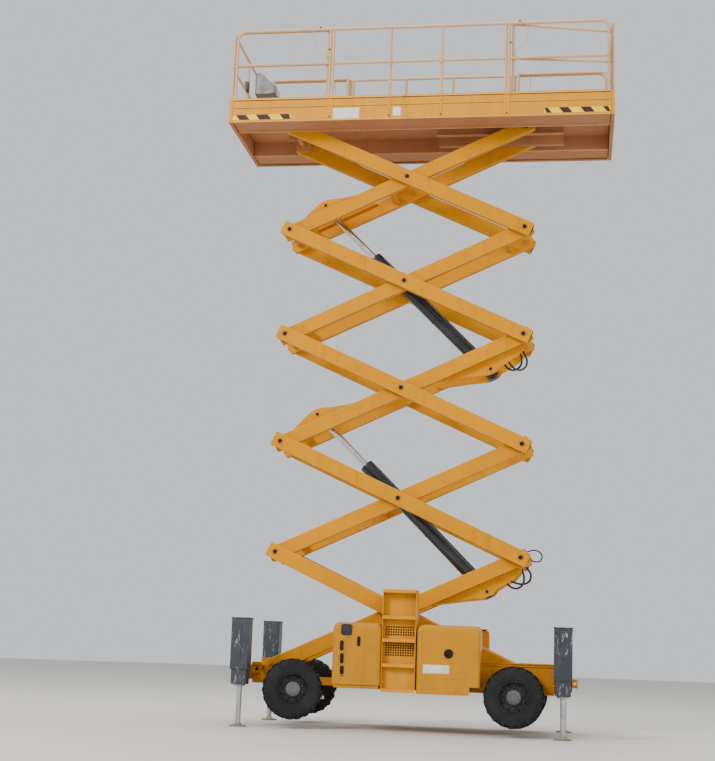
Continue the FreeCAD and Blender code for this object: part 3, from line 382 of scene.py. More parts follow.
def lathe(profile, n=32, closed=False):
    """(radius, height) points turned about Z"""
    vs, fs, rings = [], [], []
    for r, h in profile:
        if r < 1e-6:
            rings.append([len(vs)] * n)
            vs.append(Vector((0, 0, h)))
        else:
            rings.append(list(range(len(vs), len(vs) + n)))
            vs += [Vector((r * cos(2 * pi * k / n), r * sin(2 * pi * k / n), h)) for k in range(n)]
    pairs = list(zip(rings, rings[1:])) + ([(rings[-1], rings[0])] if closed else [])
    for a, b in pairs:
        for k in range(n):
            q = [a[k], a[(k + 1) % n], b[(k + 1) % n], b[k]]
            q = [x for j, x in enumerate(q) if x not in q[:j]]
            if len(q) > 2:
                fs.append(q)
    if not closed:
        for ring in (rings[0], rings[-1]):
            if ring[0] != ring[1]:
                fs.append(list(ring))
    return vs, fs

def sweep(path, r, n=12, flat=1.0):
    P = [Vector(p) for p in path]
    t0 = (P[1] - P[0]).normalized()
    ref = Vector((0, 0, 1)) if abs(t0.z) < 0.9 else Vector((1, 0, 0))
    u = (ref - t0 * ref.dot(t0)).normalized()
    vs, fs = [], []
    last = t0
    for k, p in enumerate(P):
        a = (P[k] - P[k - 1]).normalized() if k else t0
        b = (P[k + 1] - P[k]).normalized() if k < len(P) - 1 else a
        t = (a + b).normalized()
        u = (u - t * u.dot(t)).normalized()
        w = t.cross(u)
        for j in range(n):
            ang = 2 * pi * j / n
            vs.append(p + u * (r * cos(ang)) + w * (r * flat * sin(ang)))
        last = t
    for k in range(len(P) - 1):
        for j in range(n):
            fs.append([k * n + j, k * n + (j + 1) % n, (k + 1) * n + (j + 1) % n, (k + 1) * n + j])
    fs += [list(range(n)), list(range((len(P) - 1) * n, len(P) * n))]
    return vs, fs

def bend(c, u, v, r, n=7):
    """quarter arc about c from c + r u to c + r v"""
    c, u, v = Vector(c), Vector(u), Vector(v)
    return [c + u * (r * cos(pi / 2 * k / n)) + v * (r * sin(pi / 2 * k / n)) for k in range(n + 1)]

def loft(loops, cap=True):
    n = len(loops[0])
    vs = [Vector(p) for lp in loops for p in lp]
    fs = [[k * n + j, k * n + (j + 1) % n, (k + 1) * n + (j + 1) % n, (k + 1) * n + j] for k in range(len(loops) - 1) for j in range(n)]
    if cap:
        fs += [list(range(n)), list(range((len(loops) - 1) * n, len(loops) * n))]
    return vs, fs

def basis(o, z, x=None):
    """matrix whose local Z runs along z from point o"""
    z = Vector(z).normalized()
    x = Vector(x) if x is not None else (Vector((1, 0, 0)) if abs(z.x) < 0.9 else Vector((0, 0, 1)))
    x = (x - z * x.dot(z)).normalized()
    y = z.cross(x)
    return Matrix(((x.x, y.x, z.x, o[0]), (x.y, y.y, z.y, o[1]), (x.z, y.z, z.z, o[2]), (0, 0, 0, 1)))

def XZ(y0, sign=1):
    """outline (x, z) plates whose thickness runs along sign * Y from y0"""
    return Matrix(((1, 0, 0, 0), (0, 0, sign, y0), (0, 1, 0, 0), (0, 0, 0, 1)))

class Piece:
    def __init__(s, name, mats):
        s.name, s.mats, s.v, s.f, s.m = name, mats, [], [], []

    def add(s, shape, mat=0, T=None):
        vs, fs = shape[:2]
        o = len(s.v)
        s.v += [tuple(T @ Vector(p)) if T is not None else tuple(p) for p in vs]
        s.f += [[i + o for i in f] for f in fs]
        s.m += (shape[2] if len(shape) > 2 else [mat] * len(fs))
        return s

    def bolt(s, at, z, r=0.011, h=0.009, mat=0, washer=True):
        T = basis(at, z)
        if washer:
            s.add(lathe([(0, 0), (r * 1.45, 0), (r * 1.45, 0.0022), (0, 0.0024)], 16), mat, T)
        s.add(lathe([(0, 0.001), (r, 0.001), (r, h * 0.8), (r * 0.84, h), (0, h)], 6), mat, T)

    def done(s, body, nodes=(), slot=None, angle=38, weighted=True, solid=None):
        me = bpy.data.meshes.new(s.name)
        me.from_pydata(s.v, [], s.f)
        for mt in s.mats:
            me.materials.append(mt)
        me.polygons.foreach_set("material_index", s.m)
        bm = bmesh.new()
        bm.from_mesh(me)
        bmesh.ops.recalc_face_normals(bm, faces=list(bm.faces))
        bm.to_mesh(me)
        bm.free()
        me.shade_smooth()
        me.set_sharp_from_angle(angle=radians(angle))
        ob = bpy.data.objects.new(s.name, me)
        bpy.context.collection.objects.link(ob)
        if solid:
            md = ob.modifiers.new("sheet", "SOLIDIFY")
            md.thickness, md.offset = solid, 0.0
        if weighted:
            w = ob.modifiers.new("normals", "WEIGHTED_NORMAL")
            w.keep_sharp = True
        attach(ob, body)
        if nodes:
            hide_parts(*nodes)
        return ob

# ------------------------------------------------------------------ hoses: the route's points are the spline's control points
HOSES = [
    ("lower_hose_1", 1, -0.129, 0.012, 0.5939, [(3.7020, -0.0850), (3.6980, -0.1650), (3.6820, -0.2500), (3.6360, -0.3220), (3.5600, -0.3520), (3.4850, -0.3250), (3.4400, -0.2600), (3.4280, -0.2000), (3.4260, -0.1501)]),
    ("lower_hose_2", 1, -0.077, 0.012, 0.5957, [(3.7580, -0.0850), (3.7780, -0.1550), (3.7860, -0.2350), (3.7520, -0.3050), (3.6800, -0.3320), (3.6050, -0.3100), (3.5400, -0.2620), (3.4850, -0.2100), (3.4660, -0.1501)]),
    ("end_hose", 1, -0.328, 0.007, 0.5120, [(3.8321, 0.0450), (3.8940, 0.0480), (3.9640, 0.0300), (4.0200, -0.0200), (4.0320, -0.0900), (3.9820, -0.1420), (3.9120, -0.1280), (3.8670, -0.0850), (3.8321, -0.0620)]),
    ("upper_hose_1", 3, -0.129, 0.012, 0.6797, [(3.6550, -0.0850), (3.6640, -0.1650), (3.6700, -0.2500), (3.6520, -0.3350), (3.5900, -0.3920), (3.5100, -0.3920), (3.4500, -0.3400), (3.4220, -0.2600), (3.4180, -0.2000), (3.4160, -0.1501)]),
    ("upper_hose_2", 3, -0.077, 0.012, 0.6027, [(3.6150, -0.0850), (3.6200, -0.1650), (3.6050, -0.2500), (3.5600, -0.3200), (3.4850, -0.3520), (3.4050, -0.3350), (3.3600, -0.2700), (3.3480, -0.2000), (3.3460, -0.1501)]),
]
def hose(name, i, y, r, length, pts):
    T = arm_matrix("inner", i)
    W = [T @ Vector((a, y, b)) for a, b in pts]
    cu = bpy.data.curves.new(name + "_line", "CURVE")
    cu.dimensions = "3D"
    sp = cu.splines.new("NURBS")
    sp.points.add(len(W) - 1)
    for p, w in zip(sp.points, W):
        p.co = (*w, 1)
    sp.order_u, sp.use_endpoint_u, sp.resolution_u = 3, True, 10
    r = r + 0.0025                                   # woven jacket over the core
    cu.bevel_depth, cu.bevel_resolution, cu.use_fill_caps = r, 4, True
    cu.materials.append(HOSE)
    ob = bpy.data.objects.new(name + "_rubber", cu)
    bpy.context.collection.objects.link(ob)
    body = "inner_pair_%d" % i
    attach(ob, body)
    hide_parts(name)
    # crimped ferrules and hexagon nuts at both ends
    P = Piece(name + "_fittings", [ZINC])
    for a, b in ((W[0], W[1]), (W[-1], W[-2])):
        Tt = basis(a, b - a)
        P.add(lathe([(0, -0.004), (r * 1.55, -0.004), (r * 1.55, 0.012), (0, 0.012)], 6), 0, Tt)
        P.add(lathe([(r * 0.9, 0.012), (r * 1.32, 0.013), (r * 1.32, 0.034), (r * 1.12, 0.038), (r * 0.9, 0.038)], 16, True), 0, Tt)
    fit = P.done(body, slot="pin_steel", angle=30)

for h in HOSES:
    hose(*h)

# ------------------------------------------------------------------ scissor arms
DEP, THK, OVER, WALL = 0.205, 0.100, 0.110, 0.008
def rrect(hy, hb, rc, n=4):
    pts = []
    for cy, cb, a0 in ((hy - rc, hb - rc, 0), (rc - hy, hb - rc, 90), (rc - hy, rc - hb, 180), (hy - rc, rc - hb, 270)):
        pts += [(cy + rc * cos(radians(a0 + 90 * k / n)), cb + rc * sin(radians(a0 + 90 * k / n))) for k in range(n + 1)]
    return pts

def arm_tube(ym, n=4):
    """box section open at both ends, its corners rounded; materials 0 flats, 1 rounded edges in a lighter, glossier
    paint as painted highlight, 2 hollow inside in near-black as painted shade
    """
    H, hy, r = DEP / 2, THK / 2, 0.020
    secs = []           # (along, half depth, half thickness, corner, hollow?)
    a0, a1 = -OVER, L + OVER
    ends = [(1 - cos(radians(t)), sin(radians(t))) for t in (0, 30, 60, 90)]
    secs += [(a0 + 0.34, H - WALL, hy - WALL, 0.006, 1), (a0 + 0.02, H - WALL, hy - WALL, 0.006, 1), (a0 + 0.0015, H - r - WALL + 0.004, hy - WALL, 0.006, 1)]
    secs += [(a0 + r * c, H - r + r * s, hy, 0.013, 0) for c, s in ends]
    secs += [(a0 + 0.6 * k, H, hy, 0.013, 0) for k in range(1, 7)]
    secs += [(a1 - r * c, H - r + r * s, hy, 0.013, 0) for c, s in reversed(ends)]
    secs += [(a1 - 0.0015, H - r - WALL + 0.004, hy - WALL, 0.006, 1), (a1 - 0.02, H - WALL, hy - WALL, 0.006, 1), (a1 - 0.34, H - WALL, hy - WALL, 0.006, 1)]
    loops = [[(a, ym + y, b) for y, b in rrect(w, h, rc, n)] for a, h, w, rc, _ in secs]
    vs, fs = loft(loops)
    k = 4 * (n + 1)
    ms = []
    for q in range(len(loops) - 1):
        dark = secs[q][4] and secs[q + 1][4]
        for j in range(k):
            ms.append(2 if dark else (1 if j % (n + 1) < n else 0))
    ms += [2, 2]
    return vs, fs, ms

def pin_ring(r=0.045, hole=0.0300, long=0.224, proud=0.0):
    """pin whose outer end is at height 0 and runs down to -long"""
    return lathe([(0.0, -0.0032), (hole * 0.8, -0.0030), (hole, -0.0024), (hole + 0.001, -0.0012), (hole + 0.003, 0.0), (r - 0.004, 0.0), (r, -0.004), (r, -long), (0, -long)], 32)

def add_pin(P, a, y_out, long, mat):
    """a pin in arm coordinates, its ring facing away from the middle at y_out"""
    s = -1 if y_out < 0 else 1
    T = basis((a, y_out, 0), (0, s, 0))
    vs, fs = pin_ring(long=long)
    n = 32
    # faces of the bore take the near-black material: painted shade
    ms = [3 if k < 3 * n else mat for k in range(len(fs))]
    P.add((vs, fs, ms), T=T)
    # welded collar on the arm's face round the pin
    face = s * (abs(y_out) - 0.004)
    P.add(lathe([(0.046, -0.0004), (0.0585, -0.0004), (0.056, 0.0022), (0.048, 0.0022)], 32, True), 0, basis((a, face, 0), (0, s, 0)))

def lug_solid(P, outline, pin, s, T):
    pts = [(u / 1000, v / 1000) for u, v in outline]
    y0 = -0.273 if s < 0 else 0.223
    M = T @ Matrix(((1, 0, 0, 0), (0, 0, 1, y0), (0, 1, 0, 0), (0, 0, 0, 1)))
    P.add(prism(pts, 0.050, 0.005, [(pin[0] / 1000, pin[1] / 1000, 0.0402)], seg=2), 0, M)
    # pin head on the lug's outer face, its bore near-black as painted shade
    face = -0.2732 if s < 0 else 0.2732
    C = T @ basis((pin[0] / 1000, face, pin[1] / 1000), (0, s, 0))
    vs, fs = lathe([(0, -0.016), (0.0215, -0.016), (0.0225, -0.001), (0.0250, 0.0028), (0.038, 0.0028), (0.0402, 0.0), (0.0402, -0.022), (0, -0.022)], 28)
    P.add((vs, fs, [2 if k < 56 else 0 for k in range(len(fs))]), T=C)

LUG_UP = [(2326, -62), (2366, -90), (2796, -212), (3066, -298), (3201, -298), (3276, -254), (3556, -220), (3686, -160), (3716, -90), (3716, -62)]
LUG_LOW = [(130, 62), (130, 90), (400, 205), (550, 258), (680, 258), (860, 195), (1280, 90), (1320, 62)]
PIN_UP, PIN_LOW = (3136, -230), (615, 185)

def inner_pair(i):
    T = arm_matrix("inner", i)
    P = Piece("inner_arms_%d_welded" % i, [YELLOW, YELLOW_EDGE_HIGHLIGHT, DARK_AND_SHADE, PIND, ZINC])
    for s in (-1, 1):
        vs, fs, ms = arm_tube(s * 0.328)
        P.add((vs, fs, ms), T=T)
    half = 0.2778
    for a in (0.300, 1.600 if i in (2, STAGES) else L - 0.270):
        P.add(lathe([(0.049, -half), (0.057, -half), (0.057, half), (0.049, half)], 32, True), 0, T @ basis((a, 0, 0), (0, 1, 0)))
        for s in (-1, 1):       # weld beads
            # the weld beads take the lighter edge paint: painted highlight
            P.add(lathe([(0.0565, 0), (0.066, 0), (0.063, 0.005), (0.0565, 0.009)], 32, True), 1, T @ basis((a, s * half, 0), (0, -s, 0)))
    lugs = ([("up", LUG_UP, PIN_UP)] if i in (1, 3) else []) + ([("low", LUG_LOW, PIN_LOW)] if i in (3, 5) else [])
    gap = {(3, "up"): (-0.001, 0.213), (3, "low"): (-0.213, 0.001)}
    for side, outline, pin in lugs:
        for s in (-1, 1):
            lug_solid(P, outline, pin, s, T)
            a, b = ((2.446, 3.626), (-0.097, -0.063)) if side == "up" else ((0.16, 1.24), (0.063, 0.097))
            yy = (-0.280, -0.272) if s < 0 else (0.272, 0.280)
            P.add(rbox(a[0], a[1], yy[0], yy[1], b[0], b[1], 0.003), 0, T)
        g = gap.get((i, side))
        for lo, hi in ([(-0.255, 0.255)] if g is None else [(-0.255, g[0]), (g[1], 0.255)]):
            P.add(lathe([(0, 0), (0.036, 0), (0.040, 0.003), (0.040, hi - lo - 0.003), (0.036, hi - lo), (0, hi - lo)], 28), 3, T @ basis((pin[0] / 1000, lo, pin[1] / 1000), (0, 1, 0)))
    if i == STAGES:
        for s in (-1, 1):
            P.add(lathe([(0, -0.04), (0.025, -0.04), (0.025, 0), (0.041, 0), (0.045, -0.004), (0.045, -0.176), (0, -0.176)], 28), 3, T @ basis((L, s * 0.381, 0), (0, s, 0)))
    if i in (1, 3):
        a0, a1, a2, a3 = (3.675, 3.785, 3.398, 3.496) if i == 1 else (3.590, 3.685, 3.320, 3.448)
        P.add(rbox(a0, a1, -0.2778, -0.0498, -0.0849, -0.0489, 0.004), 0, T)
        P.add(rbox(a2, a3, -0.2228, -0.0508, -0.150, -0.114, 0.004), 0, T)
        for hn, hi_, hy, hr, hl, hp in HOSES:
            if hi_ == i and hn != "end_hose":
                for (a, b), up in ((hp[0], 0.0489), (hp[-1], 0.114)):
                    P.bolt(tuple(T @ Vector((a, hy, -up))), T.to_3x3() @ Vector((0, 0, 1)), 0.014, 0.012, 4)
    if i == 1:
        P.add(rbox(3.822, 3.832, -0.3695, -0.2865, -0.0943, 0.0943, 0.003), 0, T)
        for b in (-0.075, 0.075):
            P.bolt(tuple(T @ Vector((3.832, -0.328, b))), T.to_3x3() @ Vector((1, 0, 0)), 0.009, 0.008, 4)
    return P.done("inner_pair_%d" % i, ["inner_arms_%d" % i], "machine_yellow")

def outer_pair(i):
    T = arm_matrix("outer", i)
    P = Piece("outer_arms_%d_welded" % i, [YELLOW, YELLOW_EDGE_HIGHLIGHT, DARK_AND_SHADE, PIN])
    for s in (-1, 1):
        vs, fs, ms = arm_tube(s * 0.440)
        P.add((vs, fs, ms), T=T)
    ob = P.done("outer_pair_%d" % i, ["outer_arms_%d" % i], "machine_yellow")
    R = Piece("outer_pins_%d" % i, [YELLOW, YELLOW_EDGE_HIGHLIGHT, PINY, DARK_AND_SHADE])
    for a, long in ((0.0, 0.494), (L / 2, 0.224), (L, 0.224)):
        for s in (-1, 1):
            add_pin(R, a, s * 0.494, long, 2)
    if i == 1:
        for s in (-1, 1):
            R.add(lathe([(0, 0), (0.045, 0), (0.045, 0.178), (0.041, 0.182), (0.024, 0.182), (0.022, 0.15), (0, 0.15)], 28), 2, basis((L, s * 0.393, 0), (0, s, 0)))
    R.v = [tuple(T @ Vector(p)) for p in R.v]
    R.done("outer_pair_%d" % i, slot="pin_steel")
    return ob

for i in range(1, STAGES + 1):
    inner_pair(i)
    outer_pair(i)

def rollers(name, node, z, y_in, y_out, body):
    P = Piece(name, [ROLLER])
    w = y_out - y_in
    for s in (-1, 1):
        P.add(lathe([(0.0455, 0), (0.060, 0), (0.063, 0.004), (0.068, 0.002), (0.072, 0.006), (0.072, w - 0.006), (0.068, w - 0.002), (0.063, w - 0.004), (0.060, w), (0.0455, w)], 40, True),
              0, basis((PX + SPAN, s * y_in, z), (0, s, 0)))
    P.done(body, [node], "pin_steel")

rollers("chassis_roller_wheels", "chassis_rollers", PZ, 0.509, 0.565, "outer_pair_1")
rollers("platform_roller_wheels", "platform_rollers", TOP_Z, 0.209, 0.265, "inner_pair_5")

P = Piece("base_pin_pair", [PINY, DARK_AND_SHADE])
for s in (-1, 1):
    vs, fs = lathe([(0, -0.055), (0.021, -0.055), (0.0225, -0.05), (0.0225, -0.004), (0.026, 0), (0.040, 0), (0.045, -0.005), (0.045, -0.164), (0, -0.164)], 32)
    # faces of the bore take the near-black material: painted shade
    P.add((vs, fs, [1 if k < 96 else 0 for k in range(len(fs))]), T=basis((PX, s * 0.397, PZ), (0, s, 0)))
P.done("chassis", ["base_pins"], "pin_steel")

# ------------------------------------------------------------------ lift cylinders
def pin_at(i, pin):
    w = arm_matrix("inner", i) @ Vector((pin[0] / 1000, 0, pin[1] / 1000))
    return w.x, w.z

CYL = [(tag, *pin_at(i, PIN_UP), *pin_at(i + 2, PIN_LOW), y) for tag, i, y in (("lower", 1, -0.106), ("upper", 3, 0.106))]
for tag, bx, bz, ex, ez, y in CYL:
    d = Vector((ex - bx, 0, ez - bz))
    ln = d.length
    T = basis((bx, y, bz), d, (0, 1, 0))      # local X across, Y up off the line
    P = Piece(tag + "_barrel_turned", [BARREL, ZINC, CHROME, PIND])
    P.add(lathe([(0, 0.045), (0.070, 0.045), (0.092, 0.075), (0.092, 2.362), (0.0955, 2.366), (0.102, 2.376), (0.102, 2.462), (0.094, 2.480), (0.062, 2.480), (0.060, 2.474), (0.049, 2.474), (0.0475, 2.40), (0, 2.40)], 48), 0, T)
    # gland ring
    P.add(lathe([(0.0475, 2.4745), (0.058, 2.4745), (0.058, 2.4795), (0.0475, 2.4795)], 40, True), 1, T)
    # eye round the base pin
    P.add(lathe([(0.0403, -0.075), (0.084, -0.075), (0.088, -0.071), (0.088, 0.071), (0.084, 0.075), (0.0403, 0.075)], 44, True), 3, basis((bx, y, bz), (0, 1, 0)))
    # steel pipe that feeds the rod side, clipped along the barrel
    up = Vector((0, 1, 0)) if y < 0 else Vector((0, 1, 0))
    side = T.to_3x3() @ Vector((0, 1, 0))
    if side.z < 0:
        side = -side
    o = Vector((bx, y, bz)); dn = d.normalized()
    pth = [o + dn * 0.16 + side * 0.088, o + dn * 0.165 + side * 0.0965, o + dn * 0.19 + side * 0.0965, o + dn * 2.34 + side * 0.0965, o + dn * 2.372 + side * 0.0965]
    P.add(sweep(pth, 0.0055, 10), 0)
    for k in (0.5, 1.15, 1.8):
        P.add(lathe([(0.0921, k), (0.0985, k), (0.0985, k + 0.018), (0.0921, k + 0.018)], 40, True), 0, T)
    P.add(lathe([(0.0921, 2.33), (0.0965, 2.335), (0.0965, 2.36), (0.0921, 2.362)], 40, True), 0, T)
    P.done(tag + "_barrel", [tag + "_cylinder_barrel"], "cylinder_black")
    P = Piece(tag + "_rod_polished", [CHROME, BARREL])
    P.add(lathe([(0, ln - 2.39), (0.046, ln - 2.39), (0.046, ln - 0.058), (0, ln - 0.058)], 40), 0, T)
    P.add(lathe([(0.0403, -0.060), (0.056, -0.060), (0.060, -0.056), (0.060, 0.056), (0.056, 0.060), (0.0403, 0.060)], 36, True), 1, basis((ex, y, ez), (0, 1, 0)))
    P.add(lathe([(0.0462, ln - 0.085), (0.052, ln - 0.08), (0.055, ln - 0.05), (0.0462, ln - 0.045)], 32, True), 1, T)
    P.done(tag + "_rod", [tag + "_cylinder_rod"], "rod_chrome")

# ------------------------------------------------------------------ wheels
def tyre_r(h):
    """carcass radius across the tread"""
    k = min(1.0, abs(h) / 0.145)
    return 0.376 - 0.010 * k * k

def wheel(tag, c, out, body):
    T = basis(c, out, (0, 0, 1))
    P = Piece("tyre_%s_lugged" % tag, [TYRE])
    prof = [(0.216, -0.123), (0.216, 0.123), (0.228, 0.1345), (0.240, 0.1372), (0.243, 0.1352), (0.262, 0.1405), (0.290, 0.1440), (0.294, 0.1421), (0.300, 0.1421), (0.304, 0.1442), (0.318, 0.1440),
            (0.338, 0.1405), (0.352, 0.1352), (0.364, 0.124), (0.372, 0.105), (0.377, 0.05), (0.3785, 0.0)]
    prof = prof + [(r, -h) for r, h in reversed(prof[2:-1])]
    P.add(lathe(prof, 72, True), 0, T)
    N = 20
    for k in range(N):
        for s in (-1, 1):
            base = 2 * pi * (k + (0.5 if s > 0 else 0)) / N
            loops = []
            for h, da, ro, ri, turn in ((-0.016, 0.042, 0.396, 0.370, -0.02), (0.02, 0.046, 0.400, 0.370, 0.015), (0.07, 0.052, 0.3995, 0.368, 0.055), (0.112, 0.058, 0.396, 0.360, 0.078), (0.132, 0.058, 0.384, 0.345, 0.084), (0.1445, 0.050, 0.352, 0.325, 0.086)):
                a = base + turn * 1.0
                lp = []
                for aa, rr in ((a - da, ri), (a - da * 0.84, ro - 0.004), (a - da * 0.72, ro), (a + da * 0.72, ro), (a + da * 0.84, ro - 0.004), (a + da, ri)):
                    lp.append((rr * cos(aa), rr * sin(aa), s * h))
                loops.append(lp)
            P.add(loft(loops), 0, T)
    P.done(body, ["tyre_" + tag], "tyre_rubber", angle=32)
    Q = Piece("rim_%s_turned" % tag, [RIM, HUB, RBOLT, DARK_AND_SHADE])
    Q.add(lathe([(0.150, 0.030), (0.182, 0.038), (0.190, -0.121), (0.2155, -0.125), (0.2155, 0.1245), (0.2150, 0.1285), (0.209, 0.1295), (0.203, 0.125), (0.1975, 0.112), (0.191, 0.105), (0.186, 0.066), (0.178, 0.054),
                 (0.150, 0.047), (0.122, 0.052), (0.104, 0.058), (0.099, 0.058), (0.099, 0.030)], 64, True), 0, T)
    Q.add(lathe([(0, 0.034), (0.098, 0.034), (0.098, 0.086), (0.094, 0.092), (0.088, 0.1075), (0.084, 0.110), (0.064, 0.1135), (0.060, 0.120), (0.054, 0.122), (0, 0.122)], 48), 1, T)
    for k in range(10):
        a = 2 * pi * k / 10
        Q.add(lathe([(0, 0.046), (0.0135, 0.046), (0.0135, 0.066), (0.011, 0.069), (0.0065, 0.069), (0.0065, 0.079), (0, 0.080)], 6), 2, T @ Matrix.Translation((0.137 * cos(a), 0.137 * sin(a), 0)))
    for k in range(8):
        a = 2 * pi * (k + 0.5) / 8
        Q.add(lathe([(0, 0.108), (0.006, 0.108), (0.006, 0.1155), (0, 0.1165)], 6), 2, T @ Matrix.Translation((0.074 * cos(a), 0.074 * sin(a), 0)))
        # ventilation holes, shown as near-black dished discs with a lip: painted shade in place of open holes
        Q.add(lathe([(0, 0.0515), (0.0105, 0.0515), (0.0125, 0.0545), (0.0145, 0.0535), (0.0145, 0.050)], 18), 3, T @ Matrix.Translation((0.1665 * cos(a), 0.1665 * sin(a), 0.0015)))
    Q.add(sweep([(0.195 * cos(0.3), 0.195 * sin(0.3), 0.075), (0.188 * cos(0.3), 0.188 * sin(0.3), 0.098), (0.180 * cos(0.3), 0.180 * sin(0.3), 0.112)], 0.0045, 10), 3, T)
    Q.done(body, ["rim_" + tag], "rim_dark", angle=32)

wheel("front_left", (-1.47068, -0.97039, 0.512), (0.29237, -0.9563, 0), "wheel_front_left")
wheel("front_right", (-1.59932, 0.97039, 0.512), (-0.29237, 0.9563, 0), "wheel_front_right")
wheel("rear_left", (1.4735, -0.980, 0.512), (0, -1, 0), "wheel_rear_left")
wheel("rear_right", (1.4735, 0.980, 0.512), (0, 1, 0), "wheel_rear_right")

# ------------------------------------------------------------------ levelling jacks
HP = Piece("jack_boxes", [JACK, ZINC, DARK_AND_SHADE, YELLOW_LOW])
for tag, x, s in (("front_left", -2.1855, -1), ("front_right", -2.1855, 1), ("rear_left", 2.1045, -1), ("rear_right", 2.1045, 1)):
    y = s * 1.0
    HP.add(rbox(x - 0.120, x + 0.120, y - 0.120, y + 0.120, 0.750, 1.418, 0.010, 3))
    HP.add(rbox(x - 0.103, x + 0.103, y - 0.103, y + 0.103, 0.550, 0.760, 0.008, 3))
    HP.add(rbox(x - 0.128, x + 0.128, y - 0.128, y + 0.128, 1.416, 1.430, 0.004))
    HP.add(rbox(x - 0.114, x + 0.114, y - 0.114, y + 0.114, 0.742, 0.756, 0.004))
    # collar at the sleeve's foot, corner bolts, lifting bar on the top plate
    HP.add(lathe([(0.0356, 0), (0.075, 0), (0.078, 0.004), (0.078, 0.016), (0.074, 0.020), (0.0356, 0.020)], 32, True), 1, Matrix.Translation((x, y, 0.530 + 0.0)))
    for u in (-0.105, 0.105):
        for v in (-0.105, 0.105):
            HP.bolt((x + u, y + v, 1.430), (0, 0, 1), 0.0085, 0.006, 1, washer=False)
    HP.add(sweep([(x - 0.05, y, 1.428), (x - 0.05, y, 1.4345), (x + 0.05, y, 1.4345), (x + 0.05, y, 1.428)], 0.0045, 8), 1)
    for z in (0.80, 1.36):
        for u in (-0.09, 0.09):
            HP.bolt((x + u, y + s * 0.120, z), (0, s, 0), 0.010, 0.007, 0)
    # a slot cover up the outer face
    HP.add(rbox(x - 0.020, x + 0.020, min(y + s * 0.119, y + s * 0.1245), max(y + s * 0.119, y + s * 0.1245), 0.85, 1.33, 0.002))
HP.done("chassis", ["jack_housings"], "jack_black")
for tag, x, s in (("front_left", -2.1855, -1), ("front_right", -2.1855, 1), ("rear_left", 2.1045, -1), ("rear_right", 2.1045, 1)):
    P = Piece("jack_leg_%s_turned" % tag, [LEG, FOOT, ZINC])
    M = Matrix.Translation((x, s * 1.0, 0))
    P.add(lathe([(0, 0.03), (0.035, 0.03), (0.035, 0.834), (0, 0.835)], 32), 0, M)
    P.add(lathe([(0, 0.0), (0.104, 0.0), (0.113, 0.004), (0.115, 0.010), (0.113, 0.016), (0.106, 0.016), (0.098, 0.011), (0.070, 0.019), (0.052, 0.030), (0.046, 0.040), (0.036, 0.044), (0, 0.044)], 40), 1, M)
    P.done("leg_" + tag, ["jack_leg_" + tag], "rod_chrome")

# ------------------------------------------------------------------ engine and tank pods
def pod(name, node, x0, x1, low, s, notch=None):
    yo, yi, top, R, rc = 1.100, 0.776, 1.411, 0.095, 0.055
    P = Piece(name, [POD, BLACKP, DARK_AND_SHADE, PALE, ZINC])
    def line(d, z):
        r = max(rc - d * 0.55, 0.012)
        a, b, y = x0 + d, x1 - d, yo - d
        pts = [(a, yi), (a, (yi + y) / 2)]
        pts += [(a + r - r * cos(radians(t)), y - r + r * sin(radians(t))) for t in (0, 18, 36, 54, 72, 90)]
        mids = [a + r + (b - a - 2 * r) * k / 8 for k in range(1, 8)]
        if notch:
            mids = sorted([m for m in mids if abs(m - notch[0]) > 0.03] + [notch[0] - 0.0008, notch[0] + 0.0008])
        pts += [(m, y) for m in mids]
        pts += [(b - r + r * sin(radians(t)), y - r + r * cos(radians(t))) for t in (0, 18, 36, 54, 72, 90)]
        pts += [(b, (yi + y) / 2), (b, yi)]
        out = []
        for px, py in pts:
            zz = z
            if notch and px > notch[0] and z < notch[1]:
                zz = notch[1]
            out.append(Vector((px, s * py, zz)))
        return out
    rows = [line(0, low), line(0, low + 0.012), line(0, 0.64), line(0, 0.95)]
    rows += [line(0, top - R)] + [line(R * (1 - cos(radians(t))), top - R + R * sin(radians(t))) for t in (12, 24, 36, 48, 60, 72, 84, 90)]
    n = len(rows[0])
    vs = [p for r_ in rows for p in r_]
    fs = [[k * n + j, k * n + j + 1, (k + 1) * n + j + 1, (k + 1) * n + j] for k in range(len(rows) - 1) for j in range(n - 1)]
    fs = [f for f in fs if len({tuple(round(c, 6) for c in vs[i]) for i in f}) > 2]
    fs.append(list(range((len(rows) - 1) * n, len(rows) * n)))
    me = bpy.data.meshes.new(name)
    me.from_pydata([tuple(v) for v in vs], [], fs)
    bm = bmesh.new(); bm.from_mesh(me)
    bmesh.ops.remove_doubles(bm, verts=list(bm.verts), dist=0.0002)
    bmesh.ops.recalc_face_normals(bm, faces=list(bm.faces))
    big = max(bm.faces, key=lambda f: f.calc_area() if abs(f.calc_center_median().y) > yo - 0.01 else 0)
    if big.normal.y * s < 0:
        bmesh.ops.reverse_faces(bm, faces=list(bm.faces))
    bm.to_mesh(me); bm.free()
    me.materials.append(POD)
    me.shade_smooth(); me.set_sharp_from_angle(angle=radians(50))
    ob = bpy.data.objects.new(name, me)
    bpy.context.collection.objects.link(ob)
    md = ob.modifiers.new("wall", "SOLIDIFY"); md.thickness, md.offset, md.use_even_offset = 0.006, -1.0, True
    w = ob.modifiers.new("normals", "WEIGHTED_NORMAL"); w.keep_sharp = True
    body = "cowl_" + node
    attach(ob, body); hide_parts("cowl_" + node)
    return body, yo * s

def slot_shape(w, h, n=6):
    """rounded slot outline, w wide, h high, about the origin"""
    r = w / 2
    return [(r * cos(radians(180 * k / n)), h / 2 - r + r * sin(radians(180 * k / n))) for k in range(n + 1)] + \
           [(-r * cos(radians(180 * k / n)), -h / 2 + r - r * sin(radians(180 * k / n))) for k in range(n + 1)]

def rect(x0, x1, z0, z1, r=0.012, n=4):
    out = []
    for cx, cz, a0 in ((x1 - r, z1 - r, 0), (x0 + r, z1 - r, 90), (x0 + r, z0 + r, 180), (x1 - r, z0 + r, 270)):
        out += [(cx + r * cos(radians(a0 + 90 * k / n)), cz + r * sin(radians(a0 + 90 * k / n))) for k in range(n + 1)]
    return out

